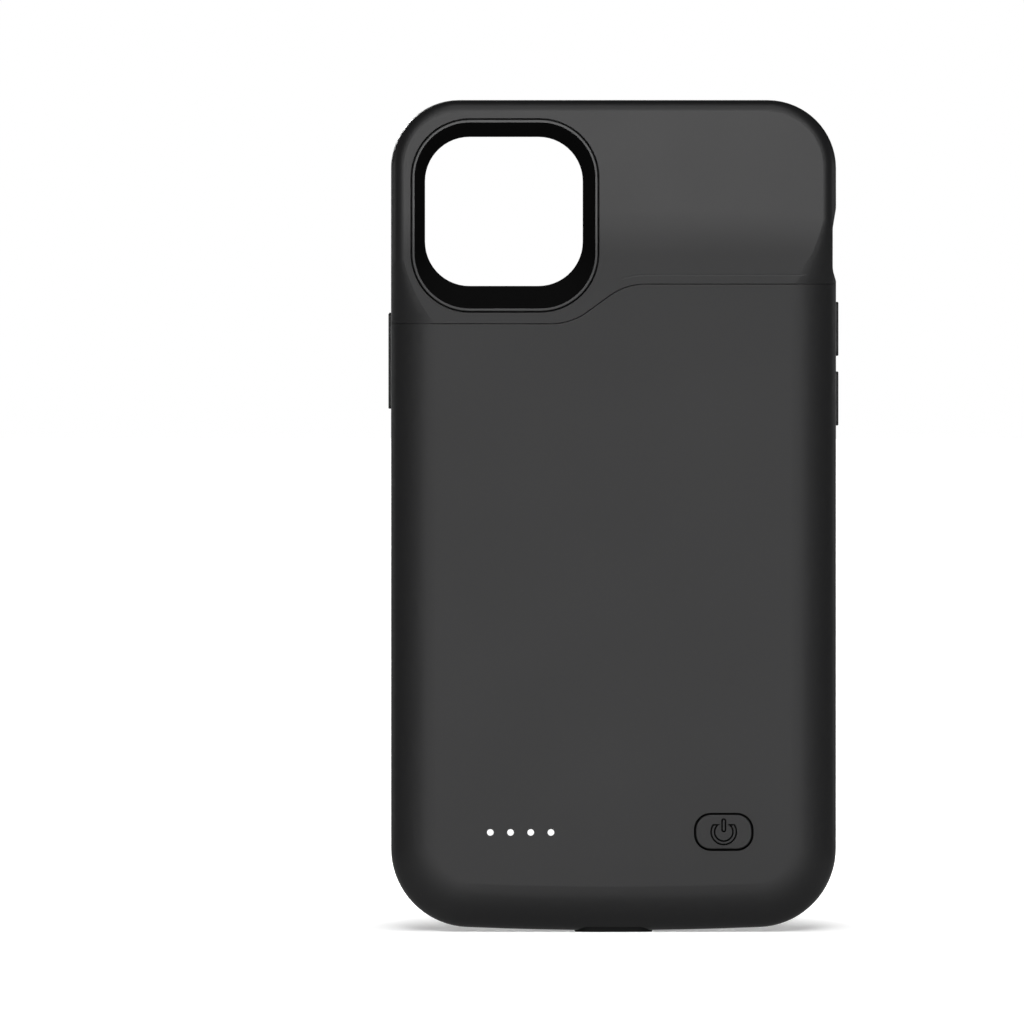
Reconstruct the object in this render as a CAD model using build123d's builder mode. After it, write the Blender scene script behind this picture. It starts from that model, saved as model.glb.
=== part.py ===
"""Battery charging case for a phone, standing on the collar of its charging socket.

Millimetres. X runs across the case, Y from the back (negative) to the open front, Z upwards.
Depths are measured from the flat of the back towards the open front.
"""

import os
from math import atan2, degrees, sqrt, tan

from build123d import *

os.makedirs("parts", exist_ok=True)

# Outline of the case, seen from the back
case_width = 82.4
case_height = 154.0
top_corner_radius = 12.6
bottom_corner_radius = 14.6
crown_radius = 620.0
half_width = case_width / 2

# Layers from the back to the open front
shell_wall = 1.3
cell_room = 4.2
tray_thickness = 0.8
pocket_depth = 7.7
lip_thickness = 1.0
tray_back = shell_wall + cell_room
pocket_back = tray_back + tray_thickness
lip_back = pocket_back + pocket_depth
case_depth = lip_back + lip_thickness
phone_middle = pocket_back + pocket_depth / 2

# Walls and fits
side_wall = 1.8
rim_wall = 1.0
bumper_wall = 1.6
lip_overhang = 0.9
fit_gap = 0.1
slide_gap = 0.15
parting_gap = 0.15
parting_depth = pocket_back + 0.7

# Rounding of the back and of the open front; above the seam the side rounding narrows in a flare.
# The pulls are the shares of its width and depth over which the rounding follows the back and the side.
back_round_in = 8.2
back_round_deep = 3.2
round_back_pull = 0.6
round_side_pull = 0.5
top_edge_radius = 2.4
flare_lift = 0.001
flare_rise = 14.0
flare_end_in = 2.2
flare_steps = 6
flare_power = 1.7
front_edge_radius = 2.2
lip_edge_radius = 0.35

# Ramp that thins the upper back
ramp_below_top = 24.4
ramp_start = case_height - ramp_below_top
ramp_drop = 2.5
ramp_bend_radius = 66.0

# S-shaped seam between the hard shell and the soft upper panel
seam_below_top = 34.0
seam_step = 7.34
seam_high = case_height - seam_below_top
seam_low = seam_high - seam_step
seam_rise_start = -7.9
seam_rise_run = 10.1
seam_rise_end = seam_rise_start + seam_rise_run
seam_bend_radius = 11.2
seam_gap = 0.08
seam_vee_width = 0.22
seam_vee_depth = 0.07
seam_wall = 1.4

# Fine groove above the seam, with a steep upper flank and a flat lower one
groove_above_seam = 1.8
groove_start = 0.8
groove_from_side = 4.7
groove_end = half_width - groove_from_side
groove_width = 0.34
groove_steep = 0.04
groove_depth = 0.08
groove_z = seam_high + groove_above_seam
groove_radius = seam_bend_radius + groove_above_seam
groove_bend_x = seam_rise_end + seam_bend_radius * tan(atan2(seam_step, seam_rise_run) / 2)
groove_turn = degrees(atan2(groove_bend_x - groove_start, groove_radius))

# Camera window and its bezel
bezel_width = 34.6
bezel_height = 35.6
bezel_radius = 10.8
bezel_from_side = 21.1
bezel_below_top = 21.3
bezel_gap = 0.2
bezel_x = bezel_from_side - half_width
bezel_z = case_height - bezel_below_top
bead_proud = 0.25
bead_width = 0.55
bead_edge_radius = 0.25
window_width = 29.2
window_height = 27.6
window_radius = 8.2
window_shift_x = -0.2
window_shift_z = 0.7
window_x = bezel_x + window_shift_x
window_z = bezel_z + window_shift_z

# Side keys
key_proud = 0.5
key_width = 3.6
key_radius = 0.8
key_edge_radius = 0.2
key_travel = 0.35
key_flange = 0.5
key_flange_lip = 0.6
volume_key_length = 10.0
volume_up_below_top = 42.4
volume_key_pitch = 12.9
volume_up_z = case_height - volume_up_below_top
volume_down_z = volume_up_z - volume_key_pitch
side_key_length = 17.8
side_key_below_top = 48.3
side_key_z = case_height - side_key_below_top

# Opening and scoop for the ringer switch of the phone
scoop_below_top = 26.7
scoop_z = case_height - scoop_below_top
scoop_length = 13.6
scoop_flat = 7.8
scoop_depth = 0.63
scoop_radius = 5.0
slot_below_scoop = 0.8
slot_z = scoop_z - slot_below_scoop
slot_length = 7.6
slot_width = 4.8

# Power button
button_from_side = 20.8
button_x = half_width - button_from_side
button_z = 18.6
button_width = 10.4
button_height = 6.4
button_radius = 2.8
button_gap = 0.34
button_sunk = 0.08
button_flange = 0.5
button_flange_lip = 0.8
button_stem_radius = 1.0
button_travel = 0.35
sign_radius = 2.02
sign_stroke = 0.64
sign_line = 0.32
sign_ring_top = 1.3
sign_bar = 2.3
sign_bar_rise = 1.22
sign_depth = 0.18

# Charge lights
light_count = 4
light_pitch = 3.74
light_from_side = 24.0
light_x = light_from_side - half_width
light_z = 18.5
light_radius = 0.58
light_gap = 0.04
guide_bar_width = 2.2
guide_bar_thickness = 0.6
light_chip_height = 0.6

# Chin at the bottom with the charging socket and the plug
chin_top = 8.0
chin_floor_wall = 1.8
chin_ceiling = 1.0
chin_room_half = 17.0
chin_room_front = 12.6
collar_drop = 0.3
collar_width = 14.4
collar_depth = 7.2
collar_radius = 2.6
collar_flange = 0.6
collar_flange_reach = 1.5
collar_flange_inset = 1.0
collar_flange_radius = 1.6
socket_depth = 5.7
socket_width = 8.94
socket_thickness = 3.26
socket_length = 6.7
socket_sheet = 0.3
socket_sunk = 0.25
tongue_width = 6.7
tongue_thickness = 0.7
tongue_sunk = 0.8
tongue_root = 1.2
plug_width = 8.25
plug_thickness = 2.4
plug_reach = 6.4
plug_sheet = 0.3
plug_root = 1.6
plug_edge_radius = 0.25
plug_insert_sunk = 0.3
plug_mouth_floor = 0.8
plug_mouth_wall = 0.4
plug_base_width = 13.0
plug_base_radius = 0.6
sound_slot_count = 4
sound_slot_pitch = 3.0
sound_slot_from_side = 16.2
sound_slot_x = half_width - sound_slot_from_side
sound_slot_width = 1.5
sound_slot_length = 3.2

# Electronics
board_thickness = 0.8
board_side_gap = 8.2
board_half_width = half_width - board_side_gap
board_low = 9.0
board_high = 27.2
board_tray_gap = 0.4
board_back = tray_back - board_tray_gap - board_thickness
board_front = board_back + board_thickness
screw_radius = 0.6
screw_head_radius = 1.1
screw_head = 0.3
screw_slot_length = 1.3
screw_slot_width = 0.3
screw_tip_gap = 0.6
screw_side_gap = 3.5
screw_edge_gap = 3.5
screw_middle_x = -1.5
screw_middle_gap = 3.0
boss_radius = 1.6
port_board_thickness = 0.6
port_board_half = 14.0
port_board_radius = 0.6
cell_side_gap = 7.2
cell_above_board = 4.8
cell_below_seam = 3.9
cell_half_width = half_width - cell_side_gap
cell_low = board_high + cell_above_board
cell_high = seam_low - cell_below_seam
adhesive_thickness = 0.15
cell_top_gap = 0.2
lead_radius = 0.45
lead_pitch = 1.6
lead_x = -7.0
lead_lap = 2.0
lead_bend_radius = 0.5
lead_end_run = 1.2
guard_board_width = 36.0
guard_board_depth = 2.6
guard_board_thickness = 0.6
guard_board_gap = 1.0
guard_cell_gap = 0.4
guard_board_radius = 0.4
tab_x = 12.0
tab_width = 5.0
tab_thickness = 0.15
tab_inset = 0.6
controller_width = 5.0
controller_height = 0.9
controller_radius = 0.2
controller_x = -3.5
controller_rise = 5.5
inductor_width = 5.6
inductor_height = 2.2
inductor_radius = 1.2
inductor_edge_radius = 0.4
inductor_x = 6.5
inductor_drop = 6.2
capacitor_length = 3.2
capacitor_width = 1.6
capacitor_height = 1.4
capacitor_pitch_x = 4.2
capacitor_pitch_z = 2.8
capacitor_x = 6.1
capacitor_rise = 5.6
light_chip_length = 1.6
light_chip_width = 1.0
switch_width = 4.2
switch_length = 3.6
switch_radius = 0.4
switch_height = 1.2
switch_floor = 0.2
plunger_radius = 0.8
plunger_reach = 0.4
board_radius = 1.2
cell_radius = 2.0
cell_edge_radius = 1.0
adhesive_inset = 3.4
link_x = 8.0
link_width = 5.0
link_thickness = 0.14
link_lap = 1.6
link_bend_radius = 0.8

# Places that follow from the sizes above
back_y = -(case_depth - bead_proud) / 2
middle_y = back_y + phone_middle
socket_y = back_y + socket_depth
crown_centre_z = collar_drop + crown_radius
corner_x = half_width - bottom_corner_radius
corner_z = crown_centre_z - sqrt((crown_radius - bottom_corner_radius) ** 2 - corner_x**2)
corner_angle = degrees(atan2(corner_z - crown_centre_z, corner_x))
ramp_slope = ramp_drop / (case_height - ramp_start)
pocket_half = half_width - side_wall
pocket_top = case_height - side_wall
pocket_radius = top_corner_radius - side_wall
chin_floor = collar_drop + chin_floor_wall
chin_roof = chin_top - chin_ceiling
beyond = 20.0
past = 1.0


def depth_plane(depth):
    """Plane across the case at a depth from the back, facing the back."""
    return Plane.XZ.offset(-(back_y + depth))


def side_plane(side, reach):
    """Plane facing outwards at a distance to the right (1) or left (-1) of the middle."""
    return Plane(origin=(side * reach, 0, 0), x_dir=(0, side, 0), z_dir=(side, 0, 0))


def outline_line(plane, inset):
    """Outline of the case from the middle of its bottom, drawn in by an inset."""
    half = half_width - inset
    top = case_height - inset
    top_radius = top_corner_radius - inset
    low_radius = bottom_corner_radius - inset
    crown = crown_radius - inset
    with BuildLine(plane) as line:
        CenterArc((0, crown_centre_z), crown, -90, corner_angle + 90)
        CenterArc((corner_x, corner_z), low_radius, corner_angle, -corner_angle)
        Line((half, corner_z), (half, top - top_radius))
        CenterArc((half - top_radius, top - top_radius), top_radius, 0, 90)
        Line((half - top_radius, top), (top_radius - half, top))
        CenterArc((top_radius - half, top - top_radius), top_radius, 90, 90)
        Line((-half, top - top_radius), (-half, corner_z))
        CenterArc((-corner_x, corner_z), low_radius, 180, -corner_angle)
        CenterArc((0, crown_centre_z), crown, 180 - corner_angle, corner_angle + 90)
    return line.line


def outline_face(plane, inset):
    """Face inside the outline, drawn in by an inset."""
    with BuildSketch(plane) as sketch:
        with BuildLine():
            add(outline_line(Plane.XY, inset))
        make_face()
    return sketch.sketch


def rounded_face(plane, width, height, radius, x=0.0, z=0.0):
    """Rectangle with rounded corners around a point of the plane."""
    with BuildSketch(plane) as sketch:
        with Locations((x, z)):
            RectangleRounded(width, height, radius)
    return sketch.sketch


def pill_face(plane, length, width, x=0.0, z=0.0, turn=0.0):
    """Slot shape with round ends around a point of the plane."""
    with BuildSketch(plane) as sketch:
        with Locations((x, z)):
            SlotOverall(length, width, rotation=turn)
    return sketch.sketch


def seam_face(plane, shift, upper=False):
    """Everything below the S-shaped seam, or above it, with the seam moved upwards by a shift."""
    lean = shift * tan(atan2(seam_high - seam_low, seam_rise_end - seam_rise_start) / 2)
    low = seam_low + shift
    high = seam_high + shift
    end = case_height + beyond if upper else -beyond
    with BuildSketch(plane) as sketch:
        with BuildLine():
            FilletPolyline(
                (-case_width, low),
                (seam_rise_start - lean, low),
                (seam_rise_end - lean, high),
                (case_width, high),
                radius=[seam_bend_radius - shift, seam_bend_radius + shift],
            )
            Polyline((case_width, high), (case_width, end), (-case_width, end), (-case_width, low))
        make_face()
    return sketch.sketch


def ramp_face(skin_y):
    """Side view of everything in front of the ramped back."""
    far_z = case_height + beyond
    far_y = skin_y + ramp_slope * (far_z - ramp_start)
    open_y = back_y + case_depth + beyond
    with BuildSketch(Plane.YZ) as sketch:
        with BuildLine():
            FilletPolyline(
                (skin_y, -beyond), (skin_y, ramp_start), (far_y, far_z), radius=[ramp_bend_radius]
            )
            Polyline((far_y, far_z), (open_y, far_z), (open_y, -beyond), (skin_y, -beyond))
        make_face()
    return sketch.sketch


def rounding_face(skin_y, low_z, deep, wide):
    """Corner cut away where the back rounds over into the bottom, seen from the side."""
    with BuildSketch(Plane.YZ) as sketch:
        with BuildLine():
            Bezier(
                (skin_y, low_z + wide),
                (skin_y, low_z + wide - round_back_pull * wide),
                (skin_y + deep - round_side_pull * deep, low_z),
                (skin_y + deep, low_z),
            )
            Polyline(
                (skin_y + deep, low_z),
                (skin_y + deep, low_z - past),
                (skin_y - past, low_z - past),
                (skin_y - past, low_z + wide),
                (skin_y, low_z + wide),
            )
        make_face()
    return sketch.sketch


def skin_depth(z):
    """Depth of the ramped back below the flat at a height."""
    rise = z - ramp_start
    half_bend = ramp_bend_radius * tan(atan2(ramp_slope, 1) / 2)
    if rise > half_bend:
        return ramp_slope * rise
    return max(rise + half_bend, 0) ** 2 / (2 * ramp_bend_radius)


def flare_face(seam_z, step):
    """Corner cut away at a side of the case, seen from above at a step of the flare."""
    z = seam_z + flare_rise * step / flare_steps
    left_over = (1 - step / flare_steps) ** flare_power
    wide = flare_end_in + (back_round_in - flare_end_in) * left_over
    deep = flare_end_in + (back_round_deep - flare_end_in) * left_over
    top_y = back_y + skin_depth(z) - flare_lift
    with BuildSketch(Plane.XY.offset(z)) as sketch:
        with BuildLine():
            Bezier(
                (half_width - wide, top_y),
                (half_width - wide + round_back_pull * wide, top_y),
                (half_width, top_y + deep - round_side_pull * deep),
                (half_width, top_y + deep),
            )
            Polyline(
                (half_width, top_y + deep),
                (half_width + past, top_y + deep),
                (half_width + past, top_y - past),
                (half_width - wide, top_y - past),
                (half_width - wide, top_y),
            )
        make_face()
    return sketch.sketch


def edge_cut(seam_z):
    """Rounding of the back edge from the middle of the bottom up the right side, narrowing above the seam."""
    low = rounding_face(back_y, collar_drop, back_round_deep, back_round_in)
    flares = [flare_face(seam_z, step) for step in range(flare_steps + 1)]
    with BuildPart() as cut:
        with BuildLine(Plane.XZ.offset(-back_y)) as path:
            CenterArc((0, crown_centre_z), crown_radius, -90, corner_angle + 90)
            CenterArc((corner_x, corner_z), bottom_corner_radius, corner_angle, -corner_angle)
            Line((half_width, corner_z), (half_width, seam_z))
        sweep(low, path=path.line)
        loft(flares)
    return cut.part


def case_body(side_inset, back_inset, rim_radius, front_radius=0.0):
    """Closed body of the case: outline, ramped back and rounded back edge, drawn in by the insets."""
    skin_y = back_y + back_inset
    around = rounding_face(
        skin_y, collar_drop + side_inset, back_round_deep - back_inset, back_round_in - side_inset
    )
    with BuildPart() as body:
        extrude(outline_face(depth_plane(case_depth), side_inset), amount=case_depth - back_inset)
        extrude(ramp_face(skin_y), amount=case_width, both=True, mode=Mode.INTERSECT)
        if rim_radius:
            skin = [face for face in body.faces() if face.normal_at().Y < -0.9]
            rim = ShapeList(
                edge
                for face in skin
                for edge in face.edges()
                if abs(edge.center().X) > 1 or abs(edge.center().Z - ramp_start) > 10
            )
            fillet(rim, rim_radius)
            add(right_cut, mode=Mode.SUBTRACT)
            add(left_cut, mode=Mode.SUBTRACT)
        else:
            sweep(around, path=outline_line(Plane.XZ.offset(-skin_y), side_inset), mode=Mode.SUBTRACT)
        if front_radius:
            fillet(body.faces().sort_by(Axis.Y)[-1].edges(), front_radius)
    return body.part


def cell_space():
    """Hollow of the back shell behind the tray."""
    body = case_body(side_wall, shell_wall, 0)
    below = seam_face(depth_plane(tray_back), -seam_wall)
    with BuildPart() as space:
        add(body)
        extrude(below, amount=case_depth, mode=Mode.INTERSECT)
    return space.part


def upper_space():
    """Hollow of the soft upper panel behind the tray, clear of the camera bezel."""
    ring = bezel_gap + bumper_wall
    body = case_body(side_wall, bumper_wall, 0)
    above = seam_face(depth_plane(tray_back), seam_wall, upper=True)
    round_bezel = rounded_face(
        depth_plane(case_depth),
        bezel_width + 2 * ring,
        bezel_height + 2 * ring,
        bezel_radius + ring,
        bezel_x,
        bezel_z,
    )
    with BuildPart() as space:
        add(body)
        extrude(above, amount=case_depth, mode=Mode.INTERSECT)
        extrude(round_bezel, amount=2 * case_depth, mode=Mode.SUBTRACT)
        big = space.solids().sort_by(SortBy.VOLUME)[-1]
        add(big, mode=Mode.REPLACE)
    return space.part


def funnel():
    """Tapered space inside the camera bezel, wide at the back and narrow at the tray."""
    wide_low = bezel_z - bezel_height / 2
    wide_high = bezel_z + bezel_height / 2
    high_depth = ramp_slope * (wide_high - ramp_start)
    lean = degrees(atan2(high_depth, wide_high - wide_low))
    rim_plane = Plane(
        origin=(bezel_x, back_y - bead_proud + high_depth / 2, bezel_z), x_dir=(1, 0, 0), z_dir=(0, -1, 0)
    ).rotated((-lean, 0, 0))
    with BuildPart() as space:
        with BuildSketch(rim_plane):
            RectangleRounded(
                bezel_width - 2 * bead_width, bezel_height - 2 * bead_width, bezel_radius - bead_width
            )
        with BuildSketch(depth_plane(tray_back)):
            with Locations((window_x, window_z)):
                RectangleRounded(window_width, window_height, window_radius)
        loft(ruled=True)
        extrude(space.faces().sort_by(Axis.Y)[0], amount=2 * past)
        extrude(
            rounded_face(
                depth_plane(case_depth), window_width, window_height, window_radius, window_x, window_z
            ),
            amount=case_depth - tray_back,
        )
    return space.part


def key_part(side, key_z, length):
    """Side key: a cap that stands out of the wall and a flange that holds it in."""
    flange_face = pocket_half + key_travel
    place = side * middle_y
    wide = key_width + 2 * key_flange_lip
    long = length + 2 * key_flange_lip
    with BuildPart() as key:
        extrude(
            rounded_face(side_plane(side, flange_face), wide, long, key_radius, place, key_z),
            amount=key_flange,
        )
        extrude(
            rounded_face(side_plane(side, flange_face), key_width, length, key_radius, place, key_z),
            amount=half_width + key_proud - flange_face,
        )
        cap = key.faces().sort_by(Axis.X)[-1 if side > 0 else 0]
        fillet(cap.edges(), key_edge_radius)
    return key.part


def key_window(side, key_z, length):
    """Opening in the side wall for a key, with room for its flange on the pocket side."""
    place = side * middle_y
    around = 2 * slide_gap
    room = around + 2 * key_flange_lip
    shoulder = key_travel + key_flange + fit_gap / 2
    start = side_plane(side, pocket_half - past)
    with BuildPart() as window:
        extrude(
            rounded_face(start, key_width + around, length + around, key_radius, place, key_z),
            amount=side_wall + 2 * past,
        )
        extrude(
            rounded_face(start, key_width + room, length + room, key_radius, place, key_z),
            amount=past + shoulder,
        )
    return window.part


def sign_face(grow):
    """Open ring and bar of the power sign, with their strokes grown by an amount on each side."""
    half_stroke = sign_stroke / 2 + grow
    cut_height = 2 * sign_radius
    with BuildSketch() as sketch:
        with Locations((button_x, button_z)):
            Circle(sign_radius + half_stroke)
            Circle(sign_radius - half_stroke, mode=Mode.SUBTRACT)
            with Locations((0, sign_ring_top + grow + cut_height / 2)):
                Rectangle(2 * cut_height, cut_height, mode=Mode.SUBTRACT)
            with Locations((0, sign_bar_rise)):
                SlotOverall(sign_bar + 2 * grow, 2 * half_stroke, rotation=90)
    return sketch.sketch


def seam_groove():
    """Shallow V along the seam on the back, where both pieces have broken edges."""
    start = Plane(origin=(-case_width, back_y, seam_low), x_dir=(0, 1, 0), z_dir=(1, 0, 0))
    with BuildPart() as groove:
        with BuildLine(depth_plane(0)) as path:
            FilletPolyline(
                (-case_width, seam_low),
                (seam_rise_start, seam_low),
                (seam_rise_end, seam_high),
                (case_width, seam_high),
                radius=seam_bend_radius,
            )
        with BuildSketch(start):
            with BuildLine():
                Polyline(
                    (-past, -seam_vee_width / 2),
                    (0, -seam_vee_width / 2),
                    (seam_vee_depth, 0),
                    (0, seam_vee_width / 2),
                    (-past, seam_vee_width / 2),
                    close=True,
                )
            make_face()
        sweep(path=path.line)
    return groove.part


right_cut = edge_cut(seam_high)
left_cut = mirror(edge_cut(seam_low), about=Plane.YZ)
outer = case_body(0, 0, top_edge_radius, front_edge_radius)
window_space = funnel()
seam_cut = seam_groove()
collar_hole = rounded_face(
    Plane.XY.offset(-past),
    collar_width + 2 * fit_gap,
    collar_depth + 2 * fit_gap,
    collar_radius,
    0,
    socket_y,
)
screw_side_x = board_half_width - screw_side_gap
screw_places = [
    (-screw_side_x, board_low + screw_edge_gap),
    (screw_side_x, board_low + screw_edge_gap),
    (screw_middle_x, board_high - screw_middle_gap),
]
light_places = [(light_x + light_pitch * (i - (light_count - 1) / 2), light_z) for i in range(light_count)]

# Hard back shell below the seam
shell_hollow = cell_space()
with BuildPart() as back_shell:
    add(outer)
    extrude(seam_face(depth_plane(parting_depth), -seam_gap / 2), amount=case_depth, mode=Mode.INTERSECT)
    add(seam_cut, mode=Mode.SUBTRACT)
    add(shell_hollow, mode=Mode.SUBTRACT)
    extrude(
        outline_face(depth_plane(parting_depth), rim_wall),
        amount=parting_depth - tray_back,
        mode=Mode.SUBTRACT,
    )
    with BuildSketch(depth_plane(board_back)):
        with Locations(*screw_places):
            Circle(boss_radius)
    extrude(amount=board_back - shell_wall / 2)
    with BuildSketch(depth_plane(board_back)):
        with Locations(*screw_places):
            Circle(screw_radius + fit_gap / 2)
    extrude(amount=board_back - shell_wall, mode=Mode.SUBTRACT)
    extrude(
        rounded_face(
            depth_plane(shell_wall + past),
            button_width + 2 * button_gap,
            button_height + 2 * button_gap,
            button_radius + button_gap,
            button_x,
            button_z,
        ),
        amount=shell_wall + 2 * past,
        mode=Mode.SUBTRACT,
    )
    with BuildSketch(depth_plane(shell_wall + past)):
        with Locations(*light_places):
            Circle(light_radius + light_gap)
    extrude(amount=shell_wall + 2 * past, mode=Mode.SUBTRACT)
    extrude(collar_hole, amount=chin_floor + 2 * past, mode=Mode.SUBTRACT)
back_shell.part.label = "back_shell"
export_step(back_shell.part, "parts/back_shell.step")

# Soft bumper frame with the upper back panel and the front lip
panel_hollow = upper_space()
volume_up_window = key_window(1, volume_up_z, volume_key_length)
volume_down_window = key_window(1, volume_down_z, volume_key_length)
side_window = key_window(-1, side_key_z, side_key_length)
with BuildSketch(depth_plane(parting_depth + parting_gap)) as shell_rim:
    add(seam_face(Plane.XY, seam_gap / 2))
    add(outline_face(Plane.XY, rim_wall + fit_gap), mode=Mode.SUBTRACT)
with BuildPart() as bumper_frame:
    add(outer)
    extrude(seam_face(depth_plane(pocket_back), seam_gap / 2), amount=case_depth, mode=Mode.SUBTRACT)
    add(seam_cut, mode=Mode.SUBTRACT)
    extrude(shell_rim.sketch, amount=parting_depth + parting_gap - pocket_back, mode=Mode.SUBTRACT)
    pocket_height = pocket_top - chin_top
    pocket_z = (pocket_top + chin_top) / 2
    extrude(
        rounded_face(depth_plane(lip_back), 2 * pocket_half, pocket_height, pocket_radius, 0, pocket_z),
        amount=pocket_depth,
        mode=Mode.SUBTRACT,
    )
    extrude(
        rounded_face(
            depth_plane(case_depth + past),
            2 * (pocket_half - lip_overhang),
            pocket_height - lip_overhang,
            pocket_radius - lip_overhang,
            0,
            pocket_z - lip_overhang / 2,
        ),
        amount=lip_thickness + past,
        mode=Mode.SUBTRACT,
    )
    mouth = bumper_frame.faces().sort_by(Axis.Y)[-1].inner_wires()[0]
    fillet(mouth.edges(), lip_edge_radius)
    extrude(outline_face(depth_plane(pocket_back), rim_wall), amount=tray_thickness, mode=Mode.SUBTRACT)
    add(panel_hollow, mode=Mode.SUBTRACT)
    extrude(
        rounded_face(
            depth_plane(case_depth / 2),
            bezel_width + 2 * bezel_gap,
            bezel_height + 2 * bezel_gap,
            bezel_radius + bezel_gap,
            bezel_x,
            bezel_z,
        ),
        amount=case_depth,
        mode=Mode.SUBTRACT,
    )
    with BuildLine(Plane.XZ.offset(-back_y)) as groove_path:
        Line((groove_end, groove_z), (groove_bend_x, groove_z))
        CenterArc((groove_bend_x, groove_z - groove_radius), groove_radius, 90, groove_turn)
    with BuildSketch(Plane.YZ.offset(groove_end)):
        with BuildLine():
            Polyline(
                (back_y - past, groove_z + groove_steep - groove_width),
                (back_y, groove_z + groove_steep - groove_width),
                (back_y + groove_depth, groove_z),
                (back_y, groove_z + groove_steep),
                (back_y - past, groove_z + groove_steep),
                close=True,
            )
        make_face()
    sweep(path=groove_path.line, mode=Mode.SUBTRACT)
    add(volume_up_window, mode=Mode.SUBTRACT)
    add(volume_down_window, mode=Mode.SUBTRACT)
    add(side_window, mode=Mode.SUBTRACT)
    with BuildSketch(depth_plane(case_depth + past)):
        with BuildLine():
            flat_low = slot_z - scoop_flat / 2
            flat_high = slot_z + scoop_flat / 2
            low = scoop_z - scoop_length / 2
            high = scoop_z + scoop_length / 2
            FilletPolyline(
                (half_width + past, low),
                (half_width, low),
                (half_width - scoop_depth, flat_low),
                (half_width - scoop_depth, flat_high),
                (half_width, high),
                (half_width + past, high),
                radius=[0, scoop_radius, scoop_radius, 0],
            )
            Line((half_width + past, high), (half_width + past, low))
        make_face()
    extrude(amount=case_depth + 2 * past, mode=Mode.SUBTRACT)
    extrude(
        pill_face(side_plane(1, pocket_half - past), slot_length, slot_width, middle_y, slot_z, 90),
        amount=side_wall + 2 * past,
        mode=Mode.SUBTRACT,
    )
    with BuildSketch(Plane.XY.offset(-past)):
        for side in (-1, 1):
            with Locations((side * sound_slot_x, middle_y)):
                with GridLocations(sound_slot_pitch, 1, sound_slot_count, 1):
                    SlotOverall(sound_slot_length, sound_slot_width, rotation=90)
    extrude(amount=chin_top + 2 * past, mode=Mode.SUBTRACT)
    with BuildSketch(depth_plane(chin_room_front)):
        with Locations((0, (chin_floor + chin_roof) / 2)):
            Rectangle(2 * chin_room_half, chin_roof - chin_floor)
    extrude(amount=chin_room_front - pocket_back + past, mode=Mode.SUBTRACT)
    extrude(
        pill_face(
            Plane.XY.offset(chin_roof - past),
            plug_width + 2 * fit_gap,
            plug_thickness + 2 * fit_gap,
            0,
            middle_y,
        ),
        amount=chin_ceiling + 2 * past,
        mode=Mode.SUBTRACT,
    )
    extrude(collar_hole, amount=chin_floor + 2 * past, mode=Mode.SUBTRACT)
bumper_frame.part.label = "bumper_frame"
export_step(bumper_frame.part, "parts/bumper_frame.step")

# Inner tray that the phone lies on
with BuildPart() as inner_tray:
    extrude(outline_face(depth_plane(pocket_back), rim_wall + fit_gap), amount=tray_thickness)
    with BuildSketch(depth_plane(pocket_back)):
        with Locations((0, chin_top - chin_ceiling / 2 - beyond / 2)):
            Rectangle(case_width, beyond)
    extrude(amount=tray_thickness, mode=Mode.SUBTRACT)
    add(window_space, mode=Mode.SUBTRACT)
inner_tray.part.label = "inner_tray"
export_step(inner_tray.part, "parts/inner_tray.step")

# Black bezel round the camera window
with BuildPart() as camera_bezel:
    extrude(
        rounded_face(depth_plane(tray_back), bezel_width, bezel_height, bezel_radius, bezel_x, bezel_z),
        amount=case_depth,
    )
    extrude(ramp_face(back_y - bead_proud), amount=case_width, both=True, mode=Mode.INTERSECT)
    skin = [face for face in camera_bezel.faces() if face.normal_at().Y < -0.95]
    bead = ShapeList(
        edge
        for face in skin
        for edge in face.edges()
        if abs(edge.center().X - bezel_x) > 1 or abs(edge.center().Z - ramp_start) > 10
    )
    fillet(bead, bead_edge_radius)
    add(window_space, mode=Mode.SUBTRACT)
camera_bezel.part.label = "camera_bezel"
export_step(camera_bezel.part, "parts/camera_bezel.step")

# Side keys
up_solid = key_part(1, volume_up_z, volume_key_length)
down_solid = key_part(1, volume_down_z, volume_key_length)
side_solid = key_part(-1, side_key_z, side_key_length)
with BuildPart() as volume_up_key:
    add(up_solid)
volume_up_key.part.label = "volume_up_key"
export_step(volume_up_key.part, "parts/volume_up_key.step")

with BuildPart() as volume_down_key:
    add(down_solid)
volume_down_key.part.label = "volume_down_key"
export_step(volume_down_key.part, "parts/volume_down_key.step")

with BuildPart() as side_key:
    add(side_solid)
side_key.part.label = "side_key"
export_step(side_key.part, "parts/side_key.step")

# Power button with its engraved sign, flange and stem
switch_back = board_back - switch_height
stem_end = switch_back - plunger_reach
flange_back = shell_wall + fit_gap / 2
with BuildPart() as power_button:
    extrude(
        rounded_face(
            depth_plane(flange_back + button_flange),
            button_width,
            button_height,
            button_radius,
            button_x,
            button_z,
        ),
        amount=flange_back + button_flange - button_sunk,
    )
    fillet(power_button.faces().sort_by(Axis.Y)[0].edges(), key_edge_radius)
    extrude(
        rounded_face(
            depth_plane(flange_back + button_flange),
            button_width + 2 * button_flange_lip,
            button_height + 2 * button_flange_lip,
            button_radius + button_flange_lip,
            button_x,
            button_z,
        ),
        amount=button_flange,
    )
    with BuildSketch(depth_plane(stem_end)):
        with Locations((button_x, button_z)):
            Circle(button_stem_radius)
    extrude(amount=stem_end - flange_back)
    with BuildSketch(depth_plane(button_sunk + sign_depth)):
        add(sign_face(sign_line / 2))
        add(sign_face(-sign_line / 2), mode=Mode.SUBTRACT)
    extrude(amount=past, mode=Mode.SUBTRACT)
power_button.part.label = "power_button"
export_step(power_button.part, "parts/power_button.step")

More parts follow.
